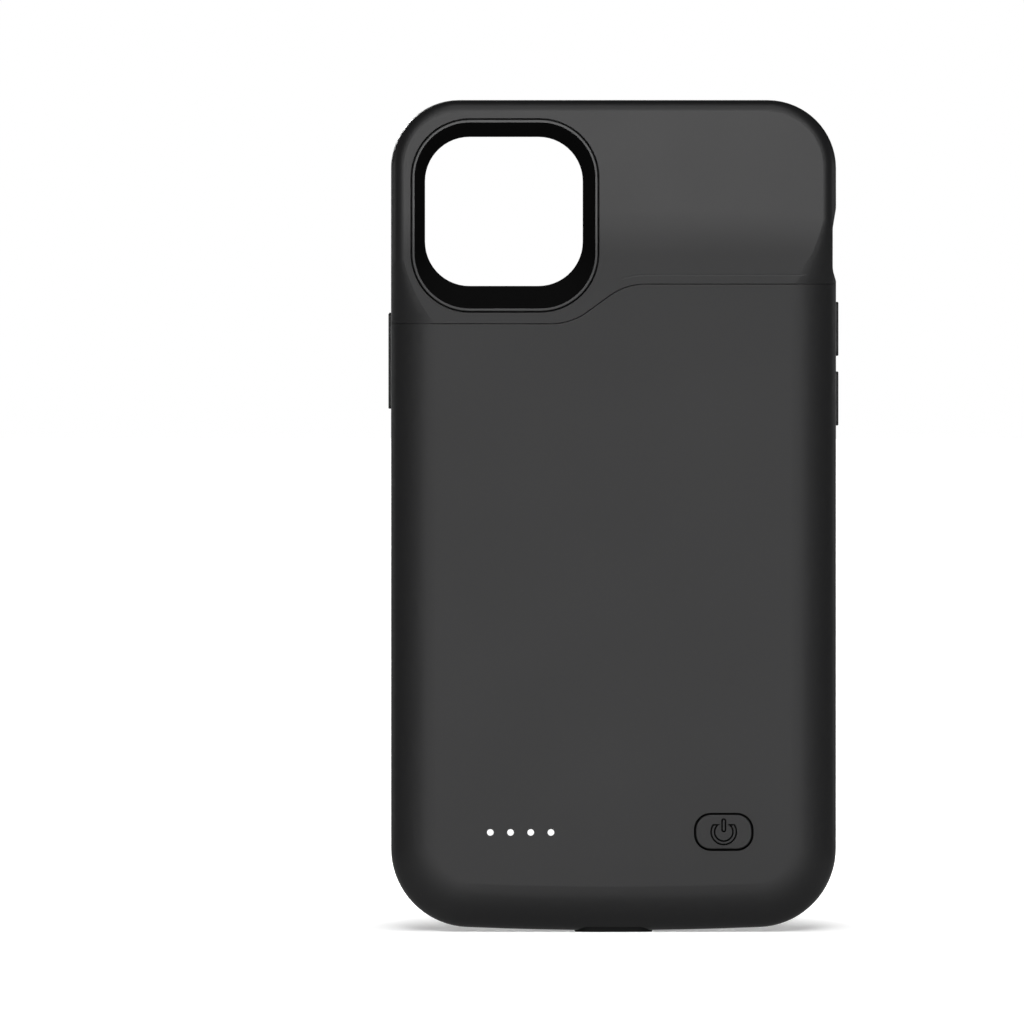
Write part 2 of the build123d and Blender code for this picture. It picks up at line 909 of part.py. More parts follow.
# Light guide with the four charge lights
with BuildPart() as light_guide:
    with BuildSketch(depth_plane(shell_wall + guide_bar_thickness)):
        with Locations((light_x, light_z)):
            SlotOverall(light_pitch * light_count, guide_bar_width)
    extrude(amount=guide_bar_thickness)
    with BuildSketch(depth_plane(board_back - light_chip_height - fit_gap)):
        with Locations(*light_places):
            Circle(light_radius)
    extrude(amount=board_back - light_chip_height - fit_gap)
light_guide.part.label = "light_guide"
export_step(light_guide.part, "parts/light_guide.step")

with BuildPart() as light_chips:
    with BuildSketch(depth_plane(board_back)):
        with Locations(*light_places):
            Rectangle(light_chip_length, light_chip_width)
    extrude(amount=light_chip_height)
light_chips.part.label = "light_chips"
export_step(light_chips.part, "parts/light_chips.step")

# Switch under the power button
with BuildPart() as button_switch:
    extrude(
        rounded_face(
            depth_plane(board_back), switch_width, switch_length, switch_radius, button_x, button_z
        ),
        amount=switch_height,
    )
    with BuildSketch(depth_plane(board_back - switch_floor)):
        with Locations((button_x, button_z)):
            Circle(plunger_radius + fit_gap)
    extrude(amount=switch_height, mode=Mode.SUBTRACT)
button_switch.part.label = "button_switch"
export_step(button_switch.part, "parts/button_switch.step")

with BuildPart() as switch_plunger:
    plunger_end = board_back - switch_floor - button_travel - fit_gap
    with BuildSketch(depth_plane(plunger_end)):
        with Locations((button_x, button_z)):
            Circle(plunger_radius)
    extrude(amount=plunger_end - stem_end)
switch_plunger.part.label = "switch_plunger"
export_step(switch_plunger.part, "parts/switch_plunger.step")

# Main board and what it carries
with BuildPart() as main_board:
    board_height = board_high - board_low
    board_z = (board_high + board_low) / 2
    extrude(
        rounded_face(
            depth_plane(board_front), 2 * board_half_width, board_height, board_radius, 0, board_z
        ),
        amount=board_thickness,
    )
    with BuildSketch(depth_plane(board_front)):
        with Locations(*screw_places):
            Circle(screw_radius + fit_gap)
    extrude(amount=board_thickness, mode=Mode.SUBTRACT)
main_board.part.label = "main_board"
export_step(main_board.part, "parts/main_board.step")

with BuildPart() as board_screws:
    with BuildSketch(depth_plane(board_front + screw_head)):
        with Locations(*screw_places):
            Circle(screw_head_radius)
    extrude(amount=screw_head)
    with BuildSketch(depth_plane(board_front)):
        with Locations(*screw_places):
            Circle(screw_radius)
    extrude(amount=board_front - shell_wall - screw_tip_gap)
    with BuildSketch(depth_plane(board_front + screw_head)):
        for place in screw_places:
            with Locations(place):
                Rectangle(screw_slot_length, screw_slot_width)
                Rectangle(screw_slot_width, screw_slot_length)
    extrude(amount=screw_head / 2, mode=Mode.SUBTRACT)
board_screws.part.label = "board_screws"
export_step(board_screws.part, "parts/board_screws.step")

with BuildPart() as charge_controller:
    extrude(
        rounded_face(
            depth_plane(board_back),
            controller_width,
            controller_width,
            controller_radius,
            controller_x,
            board_low + controller_rise,
        ),
        amount=controller_height,
    )
charge_controller.part.label = "charge_controller"
export_step(charge_controller.part, "parts/charge_controller.step")

with BuildPart() as boost_inductor:
    extrude(
        rounded_face(
            depth_plane(board_back),
            inductor_width,
            inductor_width,
            inductor_radius,
            inductor_x,
            board_high - inductor_drop,
        ),
        amount=inductor_height,
    )
    fillet(boost_inductor.faces().sort_by(Axis.Y)[0].edges(), inductor_edge_radius)
boost_inductor.part.label = "boost_inductor"
export_step(boost_inductor.part, "parts/boost_inductor.step")

with BuildPart() as capacitors:
    with BuildSketch(depth_plane(board_back)):
        with Locations((capacitor_x, board_low + capacitor_rise)):
            with GridLocations(capacitor_pitch_x, capacitor_pitch_z, 2, 2):
                Rectangle(capacitor_length, capacitor_width)
    extrude(amount=capacitor_height)
capacitors.part.label = "capacitors"
export_step(capacitors.part, "parts/capacitors.step")

# Battery cell, its adhesive sheet, protection board, tabs and leads
cell_back = shell_wall + adhesive_thickness
cell_front = tray_back - cell_top_gap
cell_z = (cell_low + cell_high) / 2
with BuildPart() as battery_cell:
    extrude(
        rounded_face(
            depth_plane(cell_front), 2 * cell_half_width, cell_high - cell_low, cell_radius, 0, cell_z
        ),
        amount=cell_front - cell_back,
    )
    faces_across = battery_cell.faces().sort_by(Axis.Y)
    fillet(faces_across[0].edges() + faces_across[-1].edges(), cell_edge_radius)
battery_cell.part.label = "battery_cell"
export_step(battery_cell.part, "parts/battery_cell.step")

with BuildPart() as cell_adhesive:
    extrude(
        rounded_face(
            depth_plane(cell_back),
            2 * (cell_half_width - adhesive_inset),
            cell_high - cell_low - 2 * adhesive_inset,
            cell_radius,
            0,
            cell_z,
        ),
        amount=adhesive_thickness,
    )
cell_adhesive.part.label = "cell_adhesive"
export_step(cell_adhesive.part, "parts/cell_adhesive.step")

guard_low = board_high + guard_board_gap
guard_high = cell_low - guard_cell_gap
guard_front = guard_board_depth + guard_board_thickness
with BuildPart() as protection_board:
    extrude(
        rounded_face(
            depth_plane(guard_front),
            guard_board_width,
            guard_high - guard_low,
            guard_board_radius,
            0,
            (guard_low + guard_high) / 2,
        ),
        amount=guard_board_thickness,
    )
protection_board.part.label = "protection_board"
export_step(protection_board.part, "parts/protection_board.step")

with BuildPart() as cell_tabs:
    tab_low = guard_low + tab_inset
    tab_z = (tab_low + cell_low) / 2
    with BuildSketch(depth_plane(guard_front + tab_thickness)):
        with Locations((-tab_x, tab_z), (tab_x, tab_z)):
            Rectangle(tab_width, cell_low - tab_low)
    extrude(amount=tab_thickness)
cell_tabs.part.label = "cell_tabs"
export_step(cell_tabs.part, "parts/cell_tabs.step")

lead_high = guard_low + lead_lap
lead_low = board_high - lead_lap
lead_start_y = back_y + guard_board_depth - lead_radius
lead_end_y = back_y + board_back - lead_radius
with BuildPart() as lead_positive:
    with BuildLine() as positive_path:
        FilletPolyline(
            (lead_x, lead_start_y, lead_high),
            (lead_x, lead_start_y, guard_low - 2 * fit_gap),
            (lead_x, lead_end_y, lead_low + lead_end_run),
            (lead_x, lead_end_y, lead_low),
            radius=lead_bend_radius,
        )
    with BuildSketch(Plane(origin=positive_path.line @ 0, z_dir=positive_path.line % 0)):
        Circle(lead_radius)
    sweep(path=positive_path.line)
lead_positive.part.label = "lead_positive"
export_step(lead_positive.part, "parts/lead_positive.step")

with BuildPart() as lead_negative:
    with BuildLine() as negative_path:
        FilletPolyline(
            (lead_x - lead_pitch, lead_start_y, lead_high),
            (lead_x - lead_pitch, lead_start_y, guard_low - 2 * fit_gap),
            (lead_x - lead_pitch, lead_end_y, lead_low + lead_end_run),
            (lead_x - lead_pitch, lead_end_y, lead_low),
            radius=lead_bend_radius,
        )
    with BuildSketch(Plane(origin=negative_path.line @ 0, z_dir=negative_path.line % 0)):
        Circle(lead_radius)
    sweep(path=negative_path.line)
lead_negative.part.label = "lead_negative"
export_step(lead_negative.part, "parts/lead_negative.step")

# Charging socket in the chin, its tongue and its collar
socket_low = socket_sunk
socket_high = socket_low + socket_length
with BuildPart() as socket_shell:
    extrude(
        pill_face(Plane.XY.offset(socket_low), socket_width, socket_thickness, 0, socket_y),
        amount=socket_length,
    )
    extrude(
        pill_face(
            Plane.XY.offset(socket_low),
            socket_width - 2 * socket_sheet,
            socket_thickness - 2 * socket_sheet,
            0,
            socket_y,
        ),
        amount=socket_length - socket_sheet,
        mode=Mode.SUBTRACT,
    )
socket_shell.part.label = "socket_shell"
export_step(socket_shell.part, "parts/socket_shell.step")

with BuildPart() as socket_tongue:
    extrude(
        pill_face(
            Plane.XY.offset(socket_high - socket_sheet - tongue_root),
            socket_width - 2 * socket_sheet - fit_gap,
            socket_thickness - 2 * socket_sheet - fit_gap,
            0,
            socket_y,
        ),
        amount=tongue_root,
    )
    extrude(
        rounded_face(
            Plane.XY.offset(socket_low + tongue_sunk),
            tongue_width,
            tongue_thickness,
            tongue_thickness / 2.1,
            0,
            socket_y,
        ),
        amount=socket_length - socket_sheet - tongue_root,
    )
socket_tongue.part.label = "socket_tongue"
export_step(socket_tongue.part, "parts/socket_tongue.step")

flange_low = chin_floor + fit_gap
with BuildPart() as port_collar:
    extrude(
        rounded_face(Plane.XY, collar_width, collar_depth, collar_radius, 0, socket_y),
        amount=flange_low + collar_flange,
    )
    fillet(port_collar.faces().sort_by(Axis.Z)[0].edges(), collar_drop / 2)
    extrude(
        rounded_face(
            Plane.XY.offset(flange_low),
            collar_width + 2 * collar_flange_reach,
            collar_depth - 2 * collar_flange_inset,
            collar_flange_radius,
            0,
            socket_y,
        ),
        amount=collar_flange,
    )
    extrude(
        pill_face(
            Plane.XY.offset(-past), socket_width + 2 * fit_gap, socket_thickness + 2 * fit_gap, 0, socket_y
        ),
        amount=chin_top,
        mode=Mode.SUBTRACT,
    )
port_collar.part.label = "port_collar"
export_step(port_collar.part, "parts/port_collar.step")

# Port board between the socket and the plug
port_board_back = socket_depth + socket_thickness / 2
with BuildPart() as port_board:
    low = flange_low + collar_flange + fit_gap
    extrude(
        rounded_face(
            depth_plane(port_board_back + port_board_thickness),
            2 * port_board_half,
            chin_roof - fit_gap - low,
            port_board_radius,
            0,
            (low + chin_roof - fit_gap) / 2,
        ),
        amount=port_board_thickness,
    )
port_board.part.label = "port_board"
export_step(port_board.part, "parts/port_board.step")

# Plug for the phone
plug_low = chin_top - chin_ceiling - plug_root
plug_high = chin_top + plug_reach
with BuildPart() as phone_plug:
    extrude(
        pill_face(Plane.XY.offset(plug_low), plug_width, plug_thickness, 0, middle_y),
        amount=plug_high - plug_low,
    )
    fillet(phone_plug.faces().sort_by(Axis.Z)[-1].edges(), plug_edge_radius)
    extrude(
        pill_face(
            Plane.XY.offset(plug_low),
            plug_width - 2 * plug_sheet,
            plug_thickness - 2 * plug_sheet,
            0,
            middle_y,
        ),
        amount=plug_high - plug_low,
        mode=Mode.SUBTRACT,
    )
phone_plug.part.label = "phone_plug"
export_step(phone_plug.part, "parts/phone_plug.step")

with BuildPart() as plug_insert:
    inner_width = plug_width - 2 * plug_sheet
    inner_thickness = plug_thickness - 2 * plug_sheet
    extrude(
        pill_face(Plane.XY.offset(plug_low), inner_width, inner_thickness, 0, middle_y),
        amount=plug_high - plug_low - plug_insert_sunk,
    )
    extrude(
        pill_face(
            Plane.XY.offset(chin_top + plug_mouth_floor),
            inner_width - 2 * plug_mouth_wall,
            inner_thickness - 2 * plug_mouth_wall,
            0,
            middle_y,
        ),
        amount=plug_reach,
        mode=Mode.SUBTRACT,
    )
plug_insert.part.label = "plug_insert"
export_step(plug_insert.part, "parts/plug_insert.step")

with BuildPart() as plug_base:
    base_back = port_board_back + port_board_thickness
    base_front = chin_room_front - fit_gap
    base_y = back_y + (base_back + base_front) / 2
    base_low = flange_low + collar_flange + 2 * fit_gap
    extrude(
        rounded_face(
            Plane.XY.offset(base_low), plug_base_width, base_front - base_back, plug_base_radius, 0, base_y
        ),
        amount=chin_roof - base_low,
    )
    extrude(
        pill_face(Plane.XY.offset(plug_low), plug_width, plug_thickness, 0, middle_y),
        amount=plug_root + past,
        mode=Mode.SUBTRACT,
    )
plug_base.part.label = "plug_base"
export_step(plug_base.part, "parts/plug_base.step")

# Flat strip that links the port board with the main board
link_low = chin_roof - link_lap
link_board_y = back_y + board_front + link_thickness / 2
with BuildPart() as board_link:
    with BuildSketch(Plane.YZ.offset(link_x)):
        with BuildLine():
            FilletPolyline(
                (back_y + port_board_back, link_low),
                (link_board_y, link_low),
                (link_board_y, board_low + link_lap),
                radius=link_bend_radius,
            )
        trace(line_width=link_thickness)
    extrude(amount=link_width)
board_link.part.label = "board_link"
export_step(board_link.part, "parts/board_link.step")
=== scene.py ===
"""Battery charging case: finishes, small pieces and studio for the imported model."""
from math import asin, cos, pi, radians, sin

import bmesh
import bpy
from bpy.props import FloatProperty, FloatVectorProperty, IntProperty, PointerProperty
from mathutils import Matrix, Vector


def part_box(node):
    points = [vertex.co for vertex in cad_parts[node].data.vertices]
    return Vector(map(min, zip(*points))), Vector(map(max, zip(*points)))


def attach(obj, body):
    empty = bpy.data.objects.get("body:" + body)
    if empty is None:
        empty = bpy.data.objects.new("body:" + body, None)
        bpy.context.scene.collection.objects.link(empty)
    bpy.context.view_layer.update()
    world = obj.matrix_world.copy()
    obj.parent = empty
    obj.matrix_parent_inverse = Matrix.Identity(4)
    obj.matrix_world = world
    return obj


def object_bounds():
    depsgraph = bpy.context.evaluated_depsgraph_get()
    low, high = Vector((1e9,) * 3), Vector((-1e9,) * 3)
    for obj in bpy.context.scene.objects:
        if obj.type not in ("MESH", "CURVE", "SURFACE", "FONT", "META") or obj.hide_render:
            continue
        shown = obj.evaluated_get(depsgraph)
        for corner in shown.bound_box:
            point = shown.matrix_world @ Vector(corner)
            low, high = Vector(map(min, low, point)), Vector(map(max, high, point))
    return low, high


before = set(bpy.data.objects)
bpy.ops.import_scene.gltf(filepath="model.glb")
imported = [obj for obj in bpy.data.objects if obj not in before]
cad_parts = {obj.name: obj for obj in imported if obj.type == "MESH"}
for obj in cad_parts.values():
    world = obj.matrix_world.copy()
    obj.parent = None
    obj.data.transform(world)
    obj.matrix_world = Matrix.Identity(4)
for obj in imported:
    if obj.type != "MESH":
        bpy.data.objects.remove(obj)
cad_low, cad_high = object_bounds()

bl_info = {
    "name": "Battery charging case",
    "version": (1, 0, 0),
    "blender": (4, 5, 0),
    "location": "3D View > Sidebar > Charging case",
    "description": "Finishes a battery charging case and sets up a plain studio for it",
    "category": "Object",
}

MILLIMETRE = 0.001
WHITE = (1.0, 1.0, 1.0, 1.0)

# Moulded grain: size and depth of the pits against the fine grain, and the fleck in the roughness
NOISE_MEAN = 0.5
PIT_SCALE = 0.6
PIT_DEPTH = 0.5
FLECK = 0.06

# Dust: values of the noise between which the specks come up, and their colour
DUST_START = 0.62
DUST_FULL = 0.8
DUST_COLOUR = (0.3, 0.29, 0.27, 1.0)

# Metals: scale of the streaks, which run along Z, their relief, and the spread of the roughness
STREAK_SCALE = (5200.0, 5200.0, 220.0)
METAL_RELIEF = 0.0006 * MILLIMETRE
METAL_SPREAD = 0.15
FOIL_RELIEF = 0.004 * MILLIMETRE
FOIL_SPREAD = 0.2
PLATING_ROUGHNESS = 0.24
PLATING_SPREAD = 0.1

# Unevenness of colour, as a share of the colour
PLASTIC_MOTTLE = 0.1
METAL_MOTTLE = 0.12
LIGHT_MOTTLE = 0.06
PAPER_MOTTLE = 0.02

# Moulded parts: grain and relief multiply the housing's own, and fineness divides its grain
TRAY_GRAIN = 1.8
TRAY_RELIEF = 4.0
TRAY_GLOSS = 0.35
TRAY_DUST = 0.02
KEY_GRAIN = 0.8
KEY_SPREAD = 0.09
BEZEL_FINENESS = 1.4
BEZEL_SPREAD = 0.04
BEZEL_RELIEF = 0.5
SIGN_GRAIN = 0.5
SIGN_ROUGHNESS = 0.85
GAP_SHADE_ROUGHNESS = 0.9
MATT_GLOSS = 0.05
BASE_ROUGHNESS = 0.5

# Light guide: fineness divides the grain of the housing, and relief is in metres
GUIDE_FINENESS = 0.5
GUIDE_ROUGHNESS = 0.28
GUIDE_SPREAD = 0.06
GUIDE_RELIEF = 0.001 * MILLIMETRE

# The bead's polish, and its lighter colour, which is a painted highlight, come up between these values of the
# Y of the bezel's normal
BEAD_START = -0.82
BEAD_FULL = -0.95

# Painted shade in the engraved lines of the sign: shares of the line's width and of the shade's thickness
# that it fills
SIGN_SHADE_FIT = 0.96
SIGN_SHADE_FILL = 0.9

# Hollow of a band as a share of its thickness, and bevel of a contact as a share of its height
BAND_HOLLOW = 0.2
CONTACT_BEVEL = 0.4

# Clean plastics: material, colour setting, roughness, grain and relief times the housing's, nodes
LIGHT_PLASTICS = (("light chips", "light_chip_colour", 0.35, 1.0, 0.8, ("light_chips",)),)
CONNECTOR_PLASTICS = (
    ("connector insulator", "insulator_colour", 0.5, 0.6, 1.0, ("socket_tongue", "plug_insert")),
)
ELECTRONIC_PLASTICS = (
    ("board lacquer", "board_colour", 0.3, 2.5, 3.0, ("main_board", "protection_board", "port_board")),
    ("chip resin", "chip_colour", 0.55, 0.8, 2.0, ("charge_controller",)),
    ("inductor ferrite", "ferrite_colour", 0.6, 1.0, 4.0, ("boost_inductor",)),
    ("capacitor ceramic", "ceramic_colour", 0.45, 1.0, 2.0, ("capacitors",)),
    ("switch body", "switch_colour", 0.45, 1.0, 1.0, ("button_switch",)),
    ("switch plunger", "plunger_colour", 0.4, 1.0, 1.0, ("switch_plunger",)),
    ("link film", "film_colour", 0.28, 3.0, 2.0, ("board_link",)),
)
BATTERY_PLASTICS = (
    ("adhesive sheet", "sheet_colour", 0.5, 2.0, 3.0, ("cell_adhesive",)),
    ("red lead", "positive_colour", 0.42, 1.0, 1.0, ("lead_positive",)),
    ("black lead", "negative_colour", 0.42, 1.0, 1.0, ("lead_negative",)),
)

# Metals: material, colour setting, roughness, relief, spread of the roughness, nodes
CONNECTOR_METALS = (
    ("socket steel", "socket_colour", 0.32, METAL_RELIEF, METAL_SPREAD, ("socket_shell",)),
    ("plug steel", "plug_colour", 0.22, METAL_RELIEF, METAL_SPREAD, ("phone_plug",)),
)
ELECTRONIC_METALS = (("screw steel", "screw_colour", 0.35, METAL_RELIEF, METAL_SPREAD, ("board_screws",)),)
BATTERY_METALS = (
    ("cell foil", "foil_colour", 0.34, FOIL_RELIEF, FOIL_SPREAD, ("battery_cell",)),
    ("tab nickel", "tab_colour", 0.28, METAL_RELIEF, METAL_SPREAD, ("cell_tabs",)),
)

# Softboxes: name, power setting, width, height, azimuth and elevation in degrees, distance
SOFTBOXES = (
    ("low_key", "low_power", 1.6, 0.5, 0.0, 1.5, 9.0),
    ("high_key", "high_power", 1.6, 1.2, 0.0, 16.0, 9.0),
    ("top", "top_power", 1.6, 3.4, 0.0, 48.0, 3.0),
    ("back", "back_power", 1.6, 1.2, 205.0, 18.0, 6.0),
    ("left_side", "side_power", 1.2, 1.2, -98.0, 3.0, 4.0),
    ("right_side", "side_power", 1.2, 1.2, 98.0, 3.0, 4.0),
)

# Floor: its glow rises from the foot of the case outwards, in metres from the middle
PAPER_ROUGHNESS = 0.5
GLOW_START = 0.045
GLOW_FULL = 0.14
FOOT_GLOW = 0.32

# Gloss sees that glow on a strip near the case, which fades outwards and sideways, and well behind it
STRIP_START = 0.3
STRIP_END = 0.6
STRIP_HALF = 0.05
STRIP_SIDE = 0.14
BEHIND_START = 0.2
BEHIND_FULL = 1.0

# Room: its strength at two values of a direction's Z, and values of Y where the backdrop comes up
ROOM_BOTTOM = -0.2
ROOM_TOP = 1.0
BOTTOM_STRENGTH = 0.012
TOP_STRENGTH = 0.06
BACKDROP_START = 0.93
BACKDROP_FULL = 0.99

# Camera: side of the square picture in pixels, sensor in millimetres, far limit in metres
PICTURE_SIDE = 1024.0
SENSOR_WIDTH = 36.0
FAR_LIMIT = 50.0


def colour(name, description, default):
    return FloatVectorProperty(
        name=name, description=description, default=default, subtype="COLOR", size=3, min=0.0, max=1.0
    )


def length(name, description, default):
    return FloatProperty(
        name=name, description=description, default=default, unit="LENGTH", min=0.0, precision=6
    )


def share(name, description, default):
    return FloatProperty(
        name=name, description=description, default=default, subtype="FACTOR", min=0.0, max=1.0
    )


def power(name, description, default):
    return FloatProperty(name=name, description=description, default=default, unit="POWER", min=0.0)


def pixels(name, description, default):
    return FloatProperty(name=name, description=description, default=default, subtype="PIXEL")


class CaseHousingSettings(bpy.types.PropertyGroup):
    """Colours and surface grain of the moulded parts."""

    soft_colour: colour("Soft frame colour", "Colour of the flexible bumper frame", (0.0068, 0.0068, 0.0071))
    shell_colour: colour("Shell colour", "Colour of the hard back shell", (0.0068, 0.0068, 0.0071))
    tray_colour: colour("Tray colour", "Colour of the tray inside the frame", (0.016, 0.016, 0.017))
    bezel_colour: colour("Bezel colour", "Colour of the camera bezel and the collar", (0.004, 0.004, 0.004))
    key_colour: colour("Key colour", "Colour of the three side keys", (0.0068, 0.0068, 0.0071))
    soft_roughness: share("Soft frame roughness", "Mean roughness of the bumper frame", 0.42)
    shell_roughness: share("Shell roughness", "Mean roughness of the back shell", 0.42)
    tray_roughness: share("Tray roughness", "Mean roughness of the tray", 0.62)
    bezel_roughness: share("Bezel roughness", "Mean roughness of the funnel of the bezel", 0.6)
    bezel_gloss: share("Bezel gloss", "Specular level of the funnel of the bezel", 0.0)
    # Lighter colour where the bezel faces straight back: a painted highlight on the bead
    bead_highlight_colour: colour("Bead colour", "Colour of the bead round the camera window", (0.012, 0.012, 0.0125))
    bead_roughness: share("Bead roughness", "Mean roughness of the bead", 0.4)
    bead_coat: share("Bead coat", "Weight of the polish on the bead", 0.5)
    collar_gloss: share("Collar gloss", "Specular level of the collar of the socket", 0.05)
    gloss: share("Gloss", "Specular level of the moulded black plastics", 0.19)
    grain_size: length("Grain size", "Width of one grain of the moulded surface", 0.16 * MILLIMETRE)
    grain_depth: length("Grain depth", "Depth of the moulded grain", 0.0025 * MILLIMETRE)


class CaseButtonSettings(bpy.types.PropertyGroup):
    """Power sign with painted shade in its engraved lines, a dark ring of painted shade in the button's gap,
    and charge lights.
    """

    # Near-black fill in the engraved lines of the sign: painted shade in the recess
    sign_shade_colour: colour("Sign colour", "Colour of the paint in the lines of the sign", (0.001, 0.001, 0.001))
    sign_radius: length("Sign radius", "Radius of the ring of the power sign", 2.02 * MILLIMETRE)
    sign_stroke: length("Sign stroke", "Width of the strokes of the power sign", 0.64 * MILLIMETRE)
    sign_line: length("Sign line", "Width of the engraved outline", 0.32 * MILLIMETRE)
    sign_ring_top: length("Ring top", "Height above the centre where the ring ends", 1.3 * MILLIMETRE)
    sign_bar: length("Bar length", "Length of the bar of the power sign", 2.3 * MILLIMETRE)
    sign_bar_rise: length("Bar rise", "Height of the middle of the bar above the centre", 1.22 * MILLIMETRE)
    sign_depth: length("Sign depth", "Depth of the engraved outline", 0.18 * MILLIMETRE)
    # Thickness of the near-black fill in the lines, which is painted shade
    sign_shade_thickness: length("Paint thickness", "Thickness of the paint in the outline", 0.05 * MILLIMETRE)
    button_radius: length("Button radius", "Corner radius of the button", 2.8 * MILLIMETRE)
    flange_lip: length("Flange lip", "Reach of the hidden flange beyond the button", 0.8 * MILLIMETRE)
    flange_depth: length("Flange depth", "Depth of the flange below the button's face", 1.27 * MILLIMETRE)
    # The ring in the gap round the button, coloured and sized below, is painted shade: a near-black ring that
    # darkens the gap
    gap_shade_colour: colour("Seal colour", "Colour of the dust seal around the button", (0.002, 0.002, 0.002))
    gap_shade_clear: length("Seal clearance", "Clearance between the seal and the button", 0.02 * MILLIMETRE)
    gap_shade_width: length("Seal width", "Width of the dust seal around the button", 0.29 * MILLIMETRE)
    gap_shade_thickness: length("Seal thickness", "Thickness of the dust seal", 0.5 * MILLIMETRE)
    light_colour: colour("Light colour", "Colour of the charge lights", (0.2, 0.2, 0.205))
    light_glow: share("Light glow", "Strength of the glow of the charge lights", 0.72)


class CaseContactSettings(bpy.types.PropertyGroup):
    """Gold contacts of the charging socket and of the plug."""

    contact_count: IntProperty(name="Contacts", description="Contacts on one side", default=12, min=2, max=16)
    contact_pitch: length("Pitch", "Distance between two contacts", 0.5 * MILLIMETRE)
    contact_width: length("Width", "Width of one contact", 0.26 * MILLIMETRE)
    contact_thickness: length("Thickness", "Height of a contact above its carrier", 0.04 * MILLIMETRE)
    tongue_thickness: length("Tongue", "Thickness of the tongue in the socket", 0.7 * MILLIMETRE)
    tongue_clear: length("Tongue tip", "Bare length at the tip of the tongue", 0.5 * MILLIMETRE)
    tongue_contact: length("Socket contact length", "Length of a contact on the tongue", 3.2 * MILLIMETRE)
    mouth_thickness: length("Mouth", "Clear thickness of the mouth of the plug", 1.0 * MILLIMETRE)
    mouth_clear: length("Mouth edge", "Bare length at the mouth of the plug", 0.7 * MILLIMETRE)
    mouth_contact: length("Plug contact length", "Length of a contact in the plug", 3.8 * MILLIMETRE)
    contact_colour: colour("Contact colour", "Colour of the contact plating", (0.83, 0.61, 0.26))


class CaseInsideSettings(bpy.types.PropertyGroup):
    """Colours of the connectors, the electronics and the battery."""

    insulator_colour: colour("Insulator colour", "Colour of the tongue and the insert", (0.012, 0.012, 0.013))
    base_colour: colour("Plug base colour", "Colour of the base of the plug", (0.014, 0.014, 0.015))
    socket_colour: colour("Socket colour", "Colour of the steel of the socket", (0.55, 0.55, 0.56))
    plug_colour: colour("Plug colour", "Colour of the steel of the plug", (0.66, 0.66, 0.67))
    light_chip_colour: colour("Light chip colour", "Colour of the chips of the lights", (0.85, 0.82, 0.66))
    board_colour: colour("Board colour", "Colour of the lacquer on the boards", (0.01, 0.09, 0.035))
    chip_colour: colour("Chip colour", "Colour of the resin of the controller", (0.02, 0.02, 0.021))
    ferrite_colour: colour("Inductor colour", "Colour of the ferrite of the inductor", (0.09, 0.09, 0.095))
    ceramic_colour: colour("Capacitor colour", "Colour of the ceramic capacitors", (0.33, 0.2, 0.1))
    switch_colour: colour("Switch colour", "Colour of the body of the button switch", (0.03, 0.03, 0.032))
    plunger_colour: colour("Plunger colour", "Colour of the plunger of the switch", (0.7, 0.69, 0.65))
    film_colour: colour("Link colour", "Colour of the film of the board link", (0.5, 0.22, 0.03))
    screw_colour: colour("Screw colour", "Colour of the steel of the screws", (0.5, 0.5, 0.51))
    foil_colour: colour("Cell colour", "Colour of the foil of the cell", (0.62, 0.63, 0.65))
    tab_colour: colour("Tab colour", "Colour of the nickel of the tabs", (0.6, 0.57, 0.52))
    sheet_colour: colour("Adhesive colour", "Colour of the adhesive sheet", (0.7, 0.7, 0.66))
    positive_colour: colour("Positive lead colour", "Colour of the positive lead", (0.4, 0.012, 0.01))
    negative_colour: colour("Negative lead colour", "Colour of the negative lead", (0.014, 0.014, 0.014))


class CaseStageSettings(bpy.types.PropertyGroup):
    """Studio floor, lamps and camera."""

    floor_half: length("Floor half width", "Half the width of the studio floor", 6.0)
    floor_colour: colour("Floor colour", "Colour of the studio floor", (0.8, 0.8, 0.8))
    picture_scale: FloatProperty(
        name="Picture scale", description="Pixels to a millimetre in the picture", default=5.4, min=0.1
    )
    centre_pixel: pixels("Centre column", "Column of the middle of the case", 613.5)
    ground_pixel: pixels("Ground row", "Row of the foot of the case", 931.9)
    camera_distance: length("Camera distance", "Distance from the camera to the case", 6.0)
    focus_depth: length("Focus depth", "Depth below the back at which the scale holds", 4.0 * MILLIMETRE)
    camera_elevation: FloatProperty(
        name="Camera elevation",
        description="Angle of the camera above level",
        default=radians(1.0),
        subtype="ANGLE",
    )
    low_power: power("Low light", "Power of the low front softbox", 110.0)
    high_power: power("High light", "Power of the high front softbox", 358.0)
    top_power: power("Top light", "Power of the overhead softbox", 60.0)
    back_power: power("Back light", "Power of the rear softbox", 180.0)
    side_power: power("Side lights", "Power of each side softbox", 18.0)


def add_node(tree, kind, inputs=None, **settings):
    node = tree.nodes.new(kind)
    for name, value in settings.items():
        setattr(node, name, value)
    for name, value in (inputs or {}).items():
        node.inputs[name].default_value = value
    return node


def math_node(tree, operation, first, second=0.0):
    node = add_node(tree, "ShaderNodeMath", operation=operation)
    for socket, value in zip(node.inputs, (first, second)):
        if isinstance(value, (int, float)):
            socket.default_value = value
        else:
            tree.links.new(value, socket)
    return node.outputs["Value"]


def map_range(tree, value, start, end, low=0.0, high=1.0, smooth=False):
    """Map a value from start..end to low..high."""
    ends = {"From Min": start, "From Max": end, "To Min": low, "To Max": high}
    kind = "SMOOTHSTEP" if smooth else "LINEAR"
    node = add_node(tree, "ShaderNodeMapRange", ends, interpolation_type=kind)
    tree.links.new(value, node.inputs["Value"])
    return node.outputs["Result"]


def split(tree, vector):
    node = add_node(tree, "ShaderNodeSeparateXYZ")
    tree.links.new(vector, node.inputs["Vector"])
    return node.outputs


